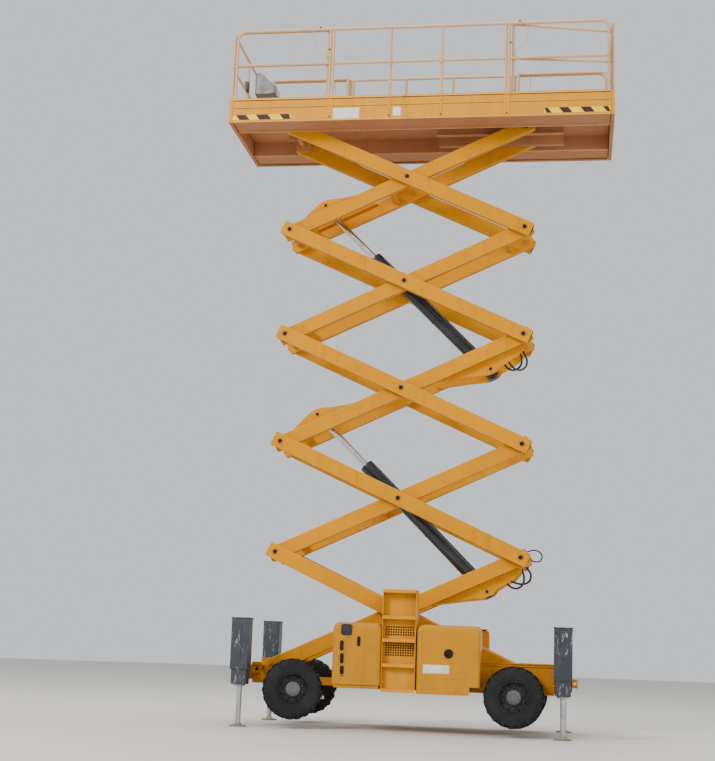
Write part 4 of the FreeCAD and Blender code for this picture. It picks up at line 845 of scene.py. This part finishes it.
def pod_fittings(name, s, body, x0, x1, left):
    P = Piece(name, [POD, BLACKP, DARK_AND_SHADE, PALE, ZINC])
    y = s * 1.100
    def plate(pts, th, mat, y_in=-0.001, r=0.0015):
        P.add(prism(pts, th + abs(y_in), r), mat, Matrix(((1, 0, 0, 0), (0, 0, s, y + s * y_in), (0, 1, 0, 0), (0, 0, 0, 1))))
    def framed(cx, cz, w, h):
        o = [(cx + a, cz + b) for a, b in slot_shape(w, h)]
        i_ = [(cx + a, cz + b) for a, b in slot_shape(w * 0.66, h - w * 0.34)]
        P.add(prism(o, 0.005, 0.0018, [i_]), 0, Matrix(((1, 0, 0, 0), (0, 0, s, y - s * 0.001), (0, 1, 0, 0), (0, 0, 0, 1))))
        # slot floor in near-black: painted shade in the recess
        plate(i_, 0.0005, 2, -0.001, 0)
    if left:
        # filler cap at the upper front corner
        plate(rect(-0.815, -0.668, 1.240, 1.388, 0.03), 0.012, 1, r=0.004)
        plate(rect(-0.790, -0.693, 1.266, 1.362, 0.02), 0.020, 1, r=0.004)
        for cx, cz in ((-0.800, 1.103), (-0.794, 0.936), (-0.788, 0.775)):
            framed(cx, cz, 0.078, 0.166)
        framed(-0.574, 1.165, 0.070, 0.158)
        plate(rect(-0.66, -0.36, 0.655, 0.668, 0.004), 0.004, 0)
        plate(rect(-0.43, -0.36, 1.02, 1.12, 0.015), 0.004, 0, r=0.001)
        P.add(lathe([(0, 0), (0.018, 0), (0.018, 0.006), (0.012, 0.010), (0, 0.010)], 20), 0, basis((-0.395, y + s * 0.0035, 1.075), (0, s, 0)))
    else:
        ring = [(0.6195 + 0.074 * cos(2 * pi * k / 28), 1.041 + 0.074 * sin(2 * pi * k / 28)) for k in range(28)]
        hole = [(0.6195 + 0.062 * cos(2 * pi * k / 28), 1.041 + 0.062 * sin(2 * pi * k / 28)) for k in range(28)]
        P.add(prism(ring, 0.007, 0.002, [hole]), 0, Matrix(((1, 0, 0, 0), (0, 0, s, y - s * 0.001), (0, 1, 0, 0), (0, 0, 0, 1))))
        # near-black disc inside the ring: painted shade in the recess
        plate(hole, 0.0005, 2, -0.001, 0)
        plate(rect(0.2865, 0.6305, 0.785, 0.894, 0.008), 0.002, 3, r=0.0006)
        plate(rect(0.945, 1.005, 1.00, 1.10, 0.015), 0.004, 0, r=0.001)
        P.add(lathe([(0, 0), (0.018, 0), (0.018, 0.006), (0.012, 0.010), (0, 0.010)], 20), 0, basis((0.975, y + s * 0.0035, 1.055), (0, s, 0)))
    # hinge line along the inner top edge, with three knuckles
    P.add(sweep([(x0 + 0.02, s * 0.770, 1.403), (x1 - 0.02, s * 0.770, 1.403)], 0.008, 12), 0)
    for k in range(3):
        cx = x0 + (x1 - x0) * (0.15 + 0.35 * k)
        P.add(sweep([(cx - 0.03, s * 0.770, 1.403), (cx + 0.03, s * 0.770, 1.403)], 0.0105, 12), 4)
    # pressed ribs near the lower rim
    for cz in (0.72,):
        plate(rect(x0 + 0.10, x1 - 0.10, cz, cz + 0.010, 0.004), 0.0025, 0, r=0.001)
    P.done(body, slot="machine_yellow", angle=30)

for nm, x0, x1, low, s, notch, left in (("front_left", -0.9295, -0.277, 0.600, -1, None, True), ("rear_left", 0.196, 1.0345, 0.515, -1, (0.8965, 0.620), False),
                                        ("front_right", -0.9295, -0.277, 0.600, 1, None, True), ("rear_right", 0.196, 1.0345, 0.515, 1, (0.8965, 0.620), False)):
    b, _ = pod("pod_%s_shell" % nm, nm, x0, x1, low, s, notch)
    pod_fittings("pod_%s_fittings" % nm, s, b, x0, x1, left)

# ------------------------------------------------------------------ ladder column and the locker opposite
def pierced(x0, x1, z0, z1, nx, nz, r, y, th):
    """sheet in the XZ plane with nx by nz round holes"""
    vs, fs = [], []
    dx, dz = (x1 - x0) / nx, (z1 - z0) / nz
    m = 8
    def ring(cx, cz, yy):
        k0 = len(vs)
        for k in range(m):
            a = 2 * pi * k / m
            vs.append(Vector((cx + r * cos(a), yy, cz + r * sin(a))))
        for k in range(m):
            a = 2 * pi * k / m
            c, s_ = cos(a), sin(a)
            q = max(abs(c) / (dx / 2), abs(s_) / (dz / 2))
            vs.append(Vector((cx + c / q, yy, cz + s_ / q)) if k % 2 == 0 else Vector((cx + math.copysign(dx / 2, c), yy, cz + math.copysign(dz / 2, s_))))
        return k0
    for i in range(nx):
        for j in range(nz):
            cx, cz = x0 + dx * (i + 0.5), z0 + dz * (j + 0.5)
            a, b = ring(cx, cz, y), ring(cx, cz, y + th)
            for k in range(m):
                k2 = (k + 1) % m
                fs += [[a + k, a + k2, a + m + k2, a + m + k], [b + k, b + k2, b + m + k2, b + m + k], [a + k, a + k2, b + k2, b + k]]
    bm = bmesh.new()
    bv = [bm.verts.new(v) for v in vs]
    for f in fs:
        try:
            bm.faces.new([bv[i] for i in f])
        except ValueError:
            pass
    bmesh.ops.remove_doubles(bm, verts=list(bm.verts), dist=0.00005)
    edge = [e for e in bm.edges if len(e.link_faces) == 1]
    bm.verts.index_update()
    out = [v.co.copy() for v in bm.verts], [[v.index for v in f.verts] for f in bm.faces]
    bm.free()
    return out

P = Piece("ladder_steps", [LADDER, YELLOW_EDGE_HIGHLIGHT, HOLE, LADDER])
lx0, lx1 = -0.271, 0.180
for xa in (lx0, lx1 - 0.008):
    P.add(rbox(xa, xa + 0.008, -1.080, -0.783, 0.552, 1.860, 0.0025))
P.add(rbox(lx0, lx1, -0.7828, -0.7748, 0.552, 1.860, 0.0025))
for z in (0.552, 0.875, 1.200, 1.500, 1.846):
    P.add(rbox(lx0 + 0.0082, lx1 - 0.0082, -1.088, -0.783, z, z + 0.014, 0.003), 0)
    # turned-down front lip of the tread, with a pierced grip strip; both take the lighter edge paint as painted
    # highlight
    P.add(rbox(lx0 + 0.0082, lx1 - 0.0082, -1.0885, -1.083, z - 0.030, z + 0.0135, 0.002), 1)
    for k in range(10):
        P.add(lathe([(0.006, 0), (0.010, 0.0), (0.0085, 0.0025), (0.006, 0.0025)], 10, True), 1, Matrix.Translation((lx0 + 0.04 + k * 0.041, -1.055, z + 0.0138)))
for z0, z1, pz0, pz1, nz in ((0.8892, 1.1998, 0.986, 1.175, 6), (1.2142, 1.4998, 1.253, 1.384, 4)):
    x_0, x_1 = lx0 + 0.0084, lx1 - 0.0084
    P.add(pierced(x_0 + 0.02, x_1 - 0.02, pz0, pz1, 12, nz, 0.0144, -0.965, 0.008), 0)
    P.add(rbox(x_0 + 0.004, x_1 - 0.004, -0.9555, -0.9535, z0 + 0.002, z1 - 0.002, 0.0005), 2)
    P.add(rbox(x_0, x_1, -0.965, -0.957, z0, pz0 + 0.0005, 0.001), 0)
    P.add(rbox(x_0, x_1, -0.965, -0.957, pz1 - 0.0005, z1, 0.001), 0)
    for xa, xb in ((x_0, x_0 + 0.0205), (x_1 - 0.0205, x_1)):
        P.add(rbox(xa, xb, -0.965, -0.957, pz0, pz1, 0.0008), 0)
P.add(rbox(lx0 + 0.0084, lx1 - 0.0084, -0.965, -0.957, 1.514, 1.846, 0.002), 0)
P.add(rbox(lx0 + 0.0084, lx1 - 0.0084, -0.995, -0.987, 0.566, 0.875, 0.002), 0)
for z in (0.70, 1.02, 1.34, 1.66):
    for xa in (lx0 + 0.02, lx1 - 0.02):
        P.bolt((xa, -0.965, z), (0, -1, 0), 0.007, 0.006, 3)
P.done("chassis", ["ladder_column"], "machine_yellow")

P = Piece("far_locker_box", [YELLOW_LOW, BLACKP, DARK_AND_SHADE, ZINC])
P.add(rbox(-0.262, 0.178, 0.776, 1.070, 0.566, 1.386, 0.014, 3))
P.add(prism(rect(-0.235, 0.151, 0.595, 1.357, 0.02), 0.005, 0.002), 0, XZ(1.0695))
P.add(prism(rect(0.09, 0.135, 0.93, 1.03, 0.008), 0.004, 0.001), 1, XZ(1.0735))
for z in (0.70, 0.97, 1.24):
    P.add(lathe([(0, -0.03), (0.0065, -0.03), (0.0065, 0.03), (0, 0.03)], 12), 3, basis((-0.244, 1.0695, z), (0, 0, 1)))
P.done("chassis", ["far_locker"], "machine_yellow")

# ------------------------------------------------------------------ chassis trim
P = Piece("chassis_trim", [YELLOW_LOW, ZINC, DARK_AND_SHADE, BLACKP])
for s in (-1, 1):
    yo = s * 0.760
    def sp(a, b):
        return (min(a, b), max(a, b))
    for k in range(9):
        P.bolt((1.06 + 0.1 * k, s * 0.760, 0.862), (0, s, 0), 0.008, 0.006, 0)
    y0, y1 = sp(s * 0.760, s * 0.766)
    # near-black strip under the top strip: painted shadow of the gap
    P.add(rbox(1.05, 1.98, y0, y1, 0.900, 0.9035, 0.001), 2)
    P.add(rbox(1.045, 1.985, y0, y1, 0.548, 0.575, 0.002), 0)
    # cable gland and clips on the beam's side
    for k in range(5):
        P.bolt((-1.2 + 0.7 * k, s * 0.270, 0.61), (0, s, 0), 0.009, 0.007, 1)
    # bracket beside the front jack, with its bolt
    a, b = sp(s * 0.700, s * 0.712)
    P.add(prism([(-2.10, 0.70), (-1.97, 0.70), (-1.945, 0.76), (-1.97, 0.85), (-2.08, 0.85), (-2.10, 0.82)], 0.012, 0.003, [(-2.02, 0.754, 0.012)]), 0, XZ(a))
    P.bolt((-2.02, s * 0.712, 0.754), (0, s, 0), 0.016, 0.014, 2)
    a, b = sp(s * 0.2705, s * 0.712)
    P.add(rbox(-2.10, -1.97, a, b, 0.792, 0.804, 0.002), 0)
# near-black sheets in the gap beside the jacks: painted shade
for x in (-2.30, 2.10):
    for s in (-1, 1):
        P.add(rbox(x - 0.0 + 0.002, x + 0.118, *( (s * 0.8795, s * 0.881) if s > 0 else (s * 0.881, s * 0.8795)), 0.612, 0.788, 0.0006), 2)
P.done("chassis", slot="machine_yellow")

# ------------------------------------------------------------------ platform: fascia trim, underside, plates
P = Piece("platform_trim", [BUFFM, LIP_HIGHLIGHT, HAZY, HAZD, PALE, WHITE, DARK_AND_SHADE, ZINC])
for s in (-1, 1):
    yf = s * 0.950
    def slab(x0, x1, z0, z1, th, mat, r=0.001, lift=0.0):
        a, b = yf + s * lift - s * 0.0005, yf + s * (th + lift)
        P.add(rbox(x0, x1, min(a, b), max(a, b), z0, z1, r), mat)
    # the top flange, the pressed bead and the lower lip take the paler lip paint as painted highlight; the near-black
    # strips under the flange and the bead are painted shadow
    slab(-2.714, 2.714, 8.866, 8.8945, 0.0118, 1, 0.003)              # top flange
    slab(-2.714, 2.714, 8.856, 8.8655, 0.0008, 6, 0.0003)             # shadow line under it
    slab(-2.700, 2.700, 8.749, 8.7545, 0.0035, 1, 0.0015)             # pressed bead
    slab(-2.700, 2.700, 8.7415, 8.7485, 0.0006, 6, 0.0002)
    slab(-2.714, 2.714, 8.531, 8.541, 0.004, 1, 0.002)                # lower lip
    # slanted warning bars: the foot of each bar lies further along than its top
    for x0, x1, bars in ((-2.714, -1.848, ((-2.640, -2.488), (-2.342, -2.166), (-1.990, -1.850))),
                         (1.790, 2.712, ((1.792, 1.868), (2.024, 2.156), (2.322, 2.466), (2.634, 2.711)))):
        slab(x0, x1, 8.566, 8.646, 0.0012, 2, 0.0004)
        for a, b in bars:
            lean = 0.030
            pts = [(max(a + lean, x0 + 0.001), 8.567), (min(b + lean, x1 - 0.001), 8.567), (min(b - lean, x1 - 0.001), 8.645), (max(a - lean, x0 + 0.001), 8.645)]
            P.add(prism(pts, 0.0010, 0.0), 3, XZ(yf + s * 0.0010, s))
    slab(-1.25, -0.85, 8.555, 8.715, 0.0015, 4, 0.0006)
    slab(-0.36, -0.25, 8.58, 8.71, 0.0018, 5, 0.0006)
    # sockets that hold the guardrail posts, with their pins
    for x in (-1.2835, -0.4185, 0.3275, 1.2625):
        w = 0.046 if abs(x) > 1 else 0.016
        slab(x - w, x + w, 8.560, 8.856, 0.0095, 0, 0.002)
        P.add(lathe([(0, 0), (0.0115, 0), (0.0115, 0.003), (0.009, 0.004), (0, 0.004)], 16), 6, basis((x, yf + s * 0.0085, 8.585), (0, s, 0)))
    for k in range(11):
        x = -2.35 + 0.47 * k
        P.bolt((x, yf, 8.805), (0, s, 0), 0.0075, 0.005, 0, washer=False)
P.done("platform", slot="platform_buff")

# the lip bars take the paler lip paint as painted highlight; strips, walls and ceiling take the darker underside paint
# as painted shade
P = Piece("platform_pan", [UNDER_SHADE, LIP_HIGHLIGHT, ZINC, DARK_AND_SHADE])
for s in (-1, 1):
    a, b = sorted((s * 0.5125, s * 0.888))
    P.add(rbox(-2.712, 2.712, a, b, 8.548, 8.553, 0.001), 0)
    a, b = sorted((s * 0.4995, s * 0.5135))
    P.add(rbox(-2.712, 2.712, a, b, 8.5375, 8.5535, 0.0025), 1)
    a, b = sorted((s * 0.5035, s * 0.5085))
    P.add(rbox(-2.712, 2.712, a, b, 8.552, 8.765, 0.001), 0)
P.add(rbox(-2.712, 2.712, -0.5045, 0.5045, 8.7625, 8.7662, 0.001), 0)
for x in (-2.3, -1.35, -0.7, -0.1, 0.5, 1.1, 1.7, 2.27):
    for y in (-0.40, 0.40):
        P.bolt((x, y, 8.7625), (0, 0, -1), 0.008, 0.006, 0)
P.done("platform", slot="platform_buff")

# ------------------------------------------------------------------ guardrails
TR = 0.021
def bead(P, at, axis, r, mat=1):
    P.add(lathe([(r - 0.001, -0.006), (r + 0.0035, -0.003), (r + 0.0035, 0.003), (r - 0.001, 0.006)], 16, True), mat, basis(at, axis))

P = Piece("guardrails_welded", [RAILM, ZINC, BLACKP, REDP])
for s in (-1, 1):
    y = s * 0.938
    pth = [Vector((-2.69, y, 8.8952)), Vector((-2.69, y, 9.82))]
    pth += bend((-2.57, y, 9.82), (-1, 0, 0), (0, 0, 1), 0.12)[1:]
    pth += [Vector((2.57, y, 9.94))] + bend((2.57, y, 9.82), (0, 0, 1), (1, 0, 0), 0.12)[1:]
    pth += [Vector((2.69, y, 8.8952))]
    P.add(sweep(pth, TR, 14))
    posts = [-1.3065, -1.3065 + 0.046, -0.4185, 0.3275, 1.2855 - 0.046, 1.2855]
    for x in posts:
        P.add(sweep([(x, y, 8.8952), (x, y, 9.925)], TR, 14))
        bead(P, (x, y, 9.918), (0, 0, 1), TR, 0)
        P.add(rbox(x - 0.026, x + 0.026, y - 0.0235, y + 0.0235, 8.8952, 8.955, 0.003), 0)
        P.bolt((x, y + s * 0.0235, 8.928), (0, s, 0), 0.0075, 0.006, 1, washer=False)
    for x in (-2.69, 2.69):
        P.add(rbox(x - 0.025, x + 0.025, y - 0.0235, y + 0.0235, 8.8952, 8.955, 0.003), 0)
    xs = [-2.69, -1.3065, -0.4185, 0.3275, 1.2855, 2.69]
    for a, b in zip(xs, xs[1:]):
        if s < 0 and a == -0.4185:
            continue
        a2 = a + TR - 0.004 + (0.046 if a == -1.3065 else 0)
        b2 = b - TR + 0.004 - (0.046 if b == 1.2855 else 0)
        P.add(sweep([(a2, y, 9.41), (b2, y, 9.41)], 0.019, 14))
        for q, d in ((a2 + 0.004, 1), (b2 - 0.004, -1)):
            bead(P, (q, y, 9.41), (1, 0, 0), 0.019, 0)
    # toggle knobs and the bent release rods of the sliding decks
    for kx, kz in (((-1.462, 9.984), (1.434, 9.988)) if s < 0 else ((-1.419, 9.955), (1.429, 9.955))):
        P.add(lathe([(0, 0), (0.007, 0), (0.007, 0.012), (0.014, 0.016), (0.016, 0.022), (0.012, 0.028), (0, 0.030)], 18), 2, Matrix.Translation((kx, y, 9.9585 if kz > 9.98 else 9.925 + 0.03)))
    for pts in (((-1.563, 9.918), (-1.556, 9.80), (-1.54, 9.69), (-1.47, 9.61), (-1.36, 9.525), (-1.3285, 9.512)), ((1.534, 9.918), (1.529, 9.78), (1.523, 9.663), (1.44, 9.575), (1.335, 9.50), (1.3065, 9.488))):
        P.add(sweep([(a, y, b) for a, b in pts], 0.0065, 10))
    for kx, kz in ((1.338, 9.639), (-1.344, 9.621)):
        P.add(lathe([(0, 0), (0.010, 0), (0.012, 0.004), (0.012, 0.014), (0.008, 0.018), (0, 0.018)], 16), 2, basis((kx * 0.9785, y + s * 0.018, kz), (0, s, 0)))
P.done("platform", ["guardrails"], "rail_buff", angle=45)

P = Piece("entry_bar_sliding", [RAILM, ZINC, BLACKP])
y = -0.938
P.add(sweep([(-0.418, y, 9.41), (0.327, y, 9.41)], 0.018, 14))
for x, op in ((-0.4185, -1), (0.3275, 1)):
    loops = []
    # collar open towards the fixed mid rail
    arc = [radians(t) for t in range(50, 311, 20)]
    sec = [(0.0215 * cos(t), 0.0215 * sin(t)) for t in arc] + [(0.032 * cos(t), 0.032 * sin(t)) for t in reversed(arc)]
    sec = [(x - op * a * -1.0 if op > 0 else x - a * -1.0 * op, y + b) for a, b in sec] if False else [(x + (a if op > 0 else -a), y + b) for a, b in sec]
    P.add(loft([[(a, b, z) for a, b in sec] for z in (9.365, 9.455)]), 0)
    for z in (9.378, 9.442):
        P.bolt((x, y - 0.032, z), (0, -1, 0), 0.005, 0.004, 1, washer=False)
P.done("entry_bar", ["entry_bar"], "rail_buff", angle=45)

def ext_rails(tag, s):
    P = Piece("extension_rails_%s_welded" % tag, [RAILM, ZINC, BLACKP])
    X0, X1, ey, r = 1.345, 2.745, 0.884, 0.018
    for y in (-ey, ey):
        # on the ladder side of the rear deck the long rails slope down to their outer end
        dr = 0.150 if s > 0 and y < 0 else 0.0
        zt_, zm_ = 9.945, 9.425
        rb = 0.10 if dr == 0 else 0.05
        c = (s * (X1 - rb), y, zt_ - dr - rb)
        arc = bend(c, (0, 0, 1), (s, 0, 0), rb)
        P.add(sweep([Vector((s * (X0 + 0.006), y, zt_))] + arc + [Vector((s * X1, y, zt_ - dr - rb - 0.06))], r, 14))
        P.add(sweep([(s * (X0 + 0.006), y, zm_), (s * (X1 - 0.004), y, zm_ - dr * 0.6)], r, 14))
        bead(P, (s * (X0 + 0.024), y, zt_), (1, 0, 0), r, 0)
        for x, z in ((X0 + 0.024, zm_), (X1 - 0.026, zm_ - dr * 0.6)):
            bead(P, (s * x, y, z), (1, 0, 0), r, 0)
        for x, z0, z1 in ((X0, 8.8656, 9.965), (X1, 8.8943, 9.925 if dr else zt_ - rb)):
            P.add(sweep([(s * x, y, z0), (s * x, y, z1 - 0.006)], TR, 14))
            P.add(lathe([(TR, -0.008), (TR * 0.93, -0.002), (TR * 0.6, 0.0), (0, 0.0)], 16), 0, Matrix.Translation((s * x, y, z1)))
            P.add(rbox(s * x - 0.026, s * x + 0.026, y - 0.0235, y + 0.0235, z0, z0 + 0.045, 0.003), 0)
    dr = 0.110 if s > 0 else 0.0
    zt, zm = 9.893 - dr * 0.9, 9.368 - dr * 0.55
    P.add(sweep([(s * X1, -ey + 0.01, zt), (s * X1, ey - 0.01, zt)], r, 14))
    P.add(sweep([(s * X1, -ey + 0.01, zm), (s * X1, ey - 0.01, zm)], r, 14))
    P.add(sweep([(s * X1, 0, 8.8943), (s * X1, 0, zt)], TR, 14))
    for y in (-ey + TR, ey - TR):
        bead(P, (s * X1, y, zt), (0, 1, 0), r, 0)
        bead(P, (s * X1, y, zm), (0, 1, 0), r, 0)
    for z in (zt - 0.02,):
        bead(P, (s * X1, 0, z), (0, 0, 1), TR, 0)
    P.add(rbox(s * X1 - 0.025, s * X1 + 0.025, -0.0235, 0.0235, 8.8943, 8.9393, 0.003), 0)
    if s < 0:
        # socket box on the mid end rail
        P.add(rbox(-2.758, -2.700, -0.185, -0.075, 9.352, 9.500, 0.008, 3), 2)
        P.add(lathe([(0, 0), (0.02, 0), (0.02, 0.010), (0.014, 0.014), (0, 0.014)], 18), 1, basis((-2.700, -0.13, 9.43), (1, 0, 0)))
    P.done(tag + "_extension", ["extension_rails_" + tag], "rail_buff", angle=45)

ext_rails("front", -1)
ext_rails("rear", 1)

# ------------------------------------------------------------------ control box and its cloth cover
P = Piece("control_console", [BOXM, BLACKP, REDP, ZINC])
P.add(prism([(-2.717, 9.518), (-2.390, 9.518), (-2.390, 9.636), (-2.632, 9.842), (-2.717, 9.842)], 0.32, 0.010), 0, XZ(0.335))
P.add(lathe([(0, 0), (0.012, 0), (0.012, 0.012), (0.010, 0.02), (0.0065, 0.045), (0.009, 0.055), (0, 0.058)], 18), 1, basis((-2.52, 0.42, 9.745), (0.6, 0, 0.8)))
P.add(lathe([(0, 0), (0.013, 0), (0.013, 0.008), (0.020, 0.011), (0.020, 0.018), (0, 0.022)], 20), 2, basis((-2.46, 0.56, 9.694), (0.6, 0, 0.8)))
P.add(rbox(-2.7355, -2.714, 0.40, 0.43, 9.60, 9.78, 0.004), 3)
P.add(rbox(-2.7355, -2.714, 0.56, 0.59, 9.60, 9.78, 0.004), 3)
P.done("front_extension", ["control_box"], "cover_grey")

def cover():
    cx, cy, hx, hy = -2.5555, 0.495, 0.168, 0.171
    n = 72
    rows = []
    def ring(k, z, flare=0.0, rip=0.0):
        out = []
        for j in range(n):
            t = 2 * pi * j / n
            c, s_ = cos(t), sin(t)
            e = 0.42
            x = math.copysign(abs(c) ** e, c) * hx * k
            y = math.copysign(abs(s_) ** e, s_) * hy * k
            rr = 1 + rip * (0.6 * sin(9 * t + 0.7) + 0.4 * sin(15 * t + 2.1))
            X, Y = cx + x * rr * (1 + flare), cy + y * rr * (1 + flare)
            Z = z(X, Y, t) if callable(z) else z
            out.append((X, Y, Z))
        return out
    def lid(X):
        # level over the back of the case, then down along its sloping panel
        return 9.8565 - 0.852 * max(0.0, X + 2.628) if X > -2.60 else 9.8565 - 0.426 * max(0.0, X + 2.656) ** 2 / 0.056
    def top(X, Y, t):
        p = 0.064 * math.exp(-((Y - 0.420) ** 2 + (X + 2.492) ** 2) / 0.0022) + 0.030 * math.exp(-((Y - 0.56) ** 2 + (X + 2.445) ** 2) / 0.0026)
        return lid(X) + p + 0.006 * sin(23 * X + 17 * Y)
    for k in (0.04, 0.16, 0.28, 0.40, 0.52, 0.64, 0.76, 0.87, 0.95):
        rows.append(ring(k, top))
    rows.append(ring(1.0, lambda X, Y, t: lid(X) - 0.010, 0.0, 0.004))
    for m in range(1, 11):
        f = m / 10
        rows.append(ring(1.0, lambda X, Y, t, f=f: (lid(X) - 0.010) * (1 - f) + (9.512 - 0.012 * sin(3 * t + 0.5)) * f, 0.018 * f, 0.004 + 0.020 * f))
    vs = [p for r_ in rows for p in r_]
    fs = [[k * n + j, k * n + (j + 1) % n, (k + 1) * n + (j + 1) % n, (k + 1) * n + j] for k in range(len(rows) - 1) for j in range(n)]
    fs.append(list(range(n)))
    me = bpy.data.meshes.new("control_cover")
    me.from_pydata(vs, [], fs)
    bm = bmesh.new(); bm.from_mesh(me)
    bmesh.ops.recalc_face_normals(bm, faces=list(bm.faces))
    area = sum(f.calc_area() for f in bm.faces)
    bm.to_mesh(me); bm.free()
    me.materials.append(CLOTH)
    me.shade_smooth()
    ob = bpy.data.objects.new("control_cover", me)
    bpy.context.collection.objects.link(ob)
    sub = ob.modifiers.new("soft", "SUBSURF"); sub.levels = sub.render_levels = 1
    md = ob.modifiers.new("cloth", "SOLIDIFY"); md.thickness, md.offset = 0.0016, 0.0
    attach(ob, "front_extension")
    return area

cover_area = cover()

# ------------------------------------------------------------------ extension decks: trim on the carried-over plates
for tag, s in (("front", -1), ("rear", 1)):
    # the trim lines take the paler lip paint: painted highlight
    P = Piece("extension_%s_trim" % tag, [LIP_HIGHLIGHT, BUFFM, ZINC, DARK_AND_SHADE])
    x = s * 2.7713
    for z in (8.87, 8.69, 8.51):
        if z > 8.53:
            P.add(rbox(min(x, x + s * 0.003), max(x, x + s * 0.003), -0.945, 0.945, z - 0.006, z + 0.006, 0.0012), 0)
    for yy in (-0.9475, 0.9475):
        for z in (8.60, 8.72, 8.84):
            P.bolt((s * 2.746, yy, z), (0, 1 if yy > 0 else -1, 0), 0.007, 0.0045, 2, washer=False)
    P.done(tag + "_extension", slot="platform_buff")

# ------------------------------------------------------------------ what the frame carries over, with its finish and eased edges
FINISH = {"chassis_frame": YELLOW_LOW, "axles": AXLE, "knuckle_left": AXLE, "knuckle_right": AXLE, "steering_cylinder": BARREL, "steering_rod": CHROME,
          "pod_frames": YELLOW_LOW, "engine_block": ENGINE, "fluid_tanks": TANK, "platform_frame": BUFFM, "platform_deck": DECK,
          "extension_deck_front": BUFFM, "extension_deck_rear": BUFFM}
for name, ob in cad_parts.items():
    if name in FINISH:
        ob.data.materials.clear()
        ob.data.materials.append(FINISH[name])
        below = name == "platform_frame" or name.startswith("extension_deck")
        if below:
            ob.data.materials.append(UNDER_SHADE)
        for p in ob.data.polygons:
            p.material_index = 0
            if below:
                # what lies under the decks is in their shade and takes a darker, duller paint: painted shade
                q = ob.matrix_world @ p.center
                if q.z < 8.80 and abs(q.y) < 0.936 and abs(q.x) < 2.7705 and not (abs(p.normal.x) > 0.9 and abs(q.x) > 2.765):
                    p.material_index = 1
        if name not in ("steering_rod",):
            bv = ob.modifiers.new("eased", "BEVEL")
            bv.width, bv.segments, bv.limit_method, bv.angle_limit = 0.002, 2, "ANGLE", radians(50)
            bv.harden_normals = False
    elif not ob.hide_render:
        ob.data.materials.clear()
        ob.data.materials.append(YELLOW)

# ------------------------------------------------------------------ floor and lights
def floor():
    m = Mat("floor_pale")
    a, b = m.noise(0.35, 4, 0.6), m.noise(6, 4)
    c = m.mix(m.span(a, 0.3, 0.7), (0.60, 0.575, 0.53), (0.66, 0.635, 0.59))
    c = m.mix(m.span(b, 0.3, 0.7, 0, 0.15), c, (0.57, 0.545, 0.50))
    mat = m.done(c, m.span(b, 0.3, 0.7, 0.8, 0.95), m.bump(b, 0.05, 0.01))
    vs, fs = lathe([(0, 0), (60, 0)], 96)
    me = bpy.data.meshes.new("floor")
    me.from_pydata([tuple(v) for v in vs], [], [f for f in fs if len(f) < 90])
    me.materials.append(mat)
    ob = bpy.data.objects.new("floor", me)
    bpy.context.collection.objects.link(ob)

floor()

def area(name, at, to, size, watts, col=(1, 1, 1)):
    d = bpy.data.lights.new(name, "AREA")
    d.shape, d.size, d.energy, d.color = "DISK", size, watts, col
    ob = bpy.data.objects.new(name, d)
    ob.matrix_world = basis(at, Vector(at) - Vector(to))
    bpy.context.collection.objects.link(ob)

area("key", (-13, -19, 15), (0, 0, 4.5), 9, 5200, (1.0, 0.965, 0.91))
area("fill", (16, -13, 7), (0, 0, 5), 12, 1500, (0.93, 0.96, 1.0))
area("top", (0, 3, 22), (0, 0, 5), 12, 2600, (0.97, 0.98, 1.0))
w = bpy.data.worlds.new("soft_sky") if bpy.context.scene.world is None else bpy.context.scene.world
bpy.context.scene.world = w
w.use_nodes = True
bg = w.node_tree.nodes.get("Background") or w.node_tree.nodes.new("ShaderNodeBackground")
bg.inputs["Color"].default_value = (0.90, 0.93, 0.97, 1)
bg.inputs["Strength"].default_value = 0.85

bpy.context.view_layer.update()
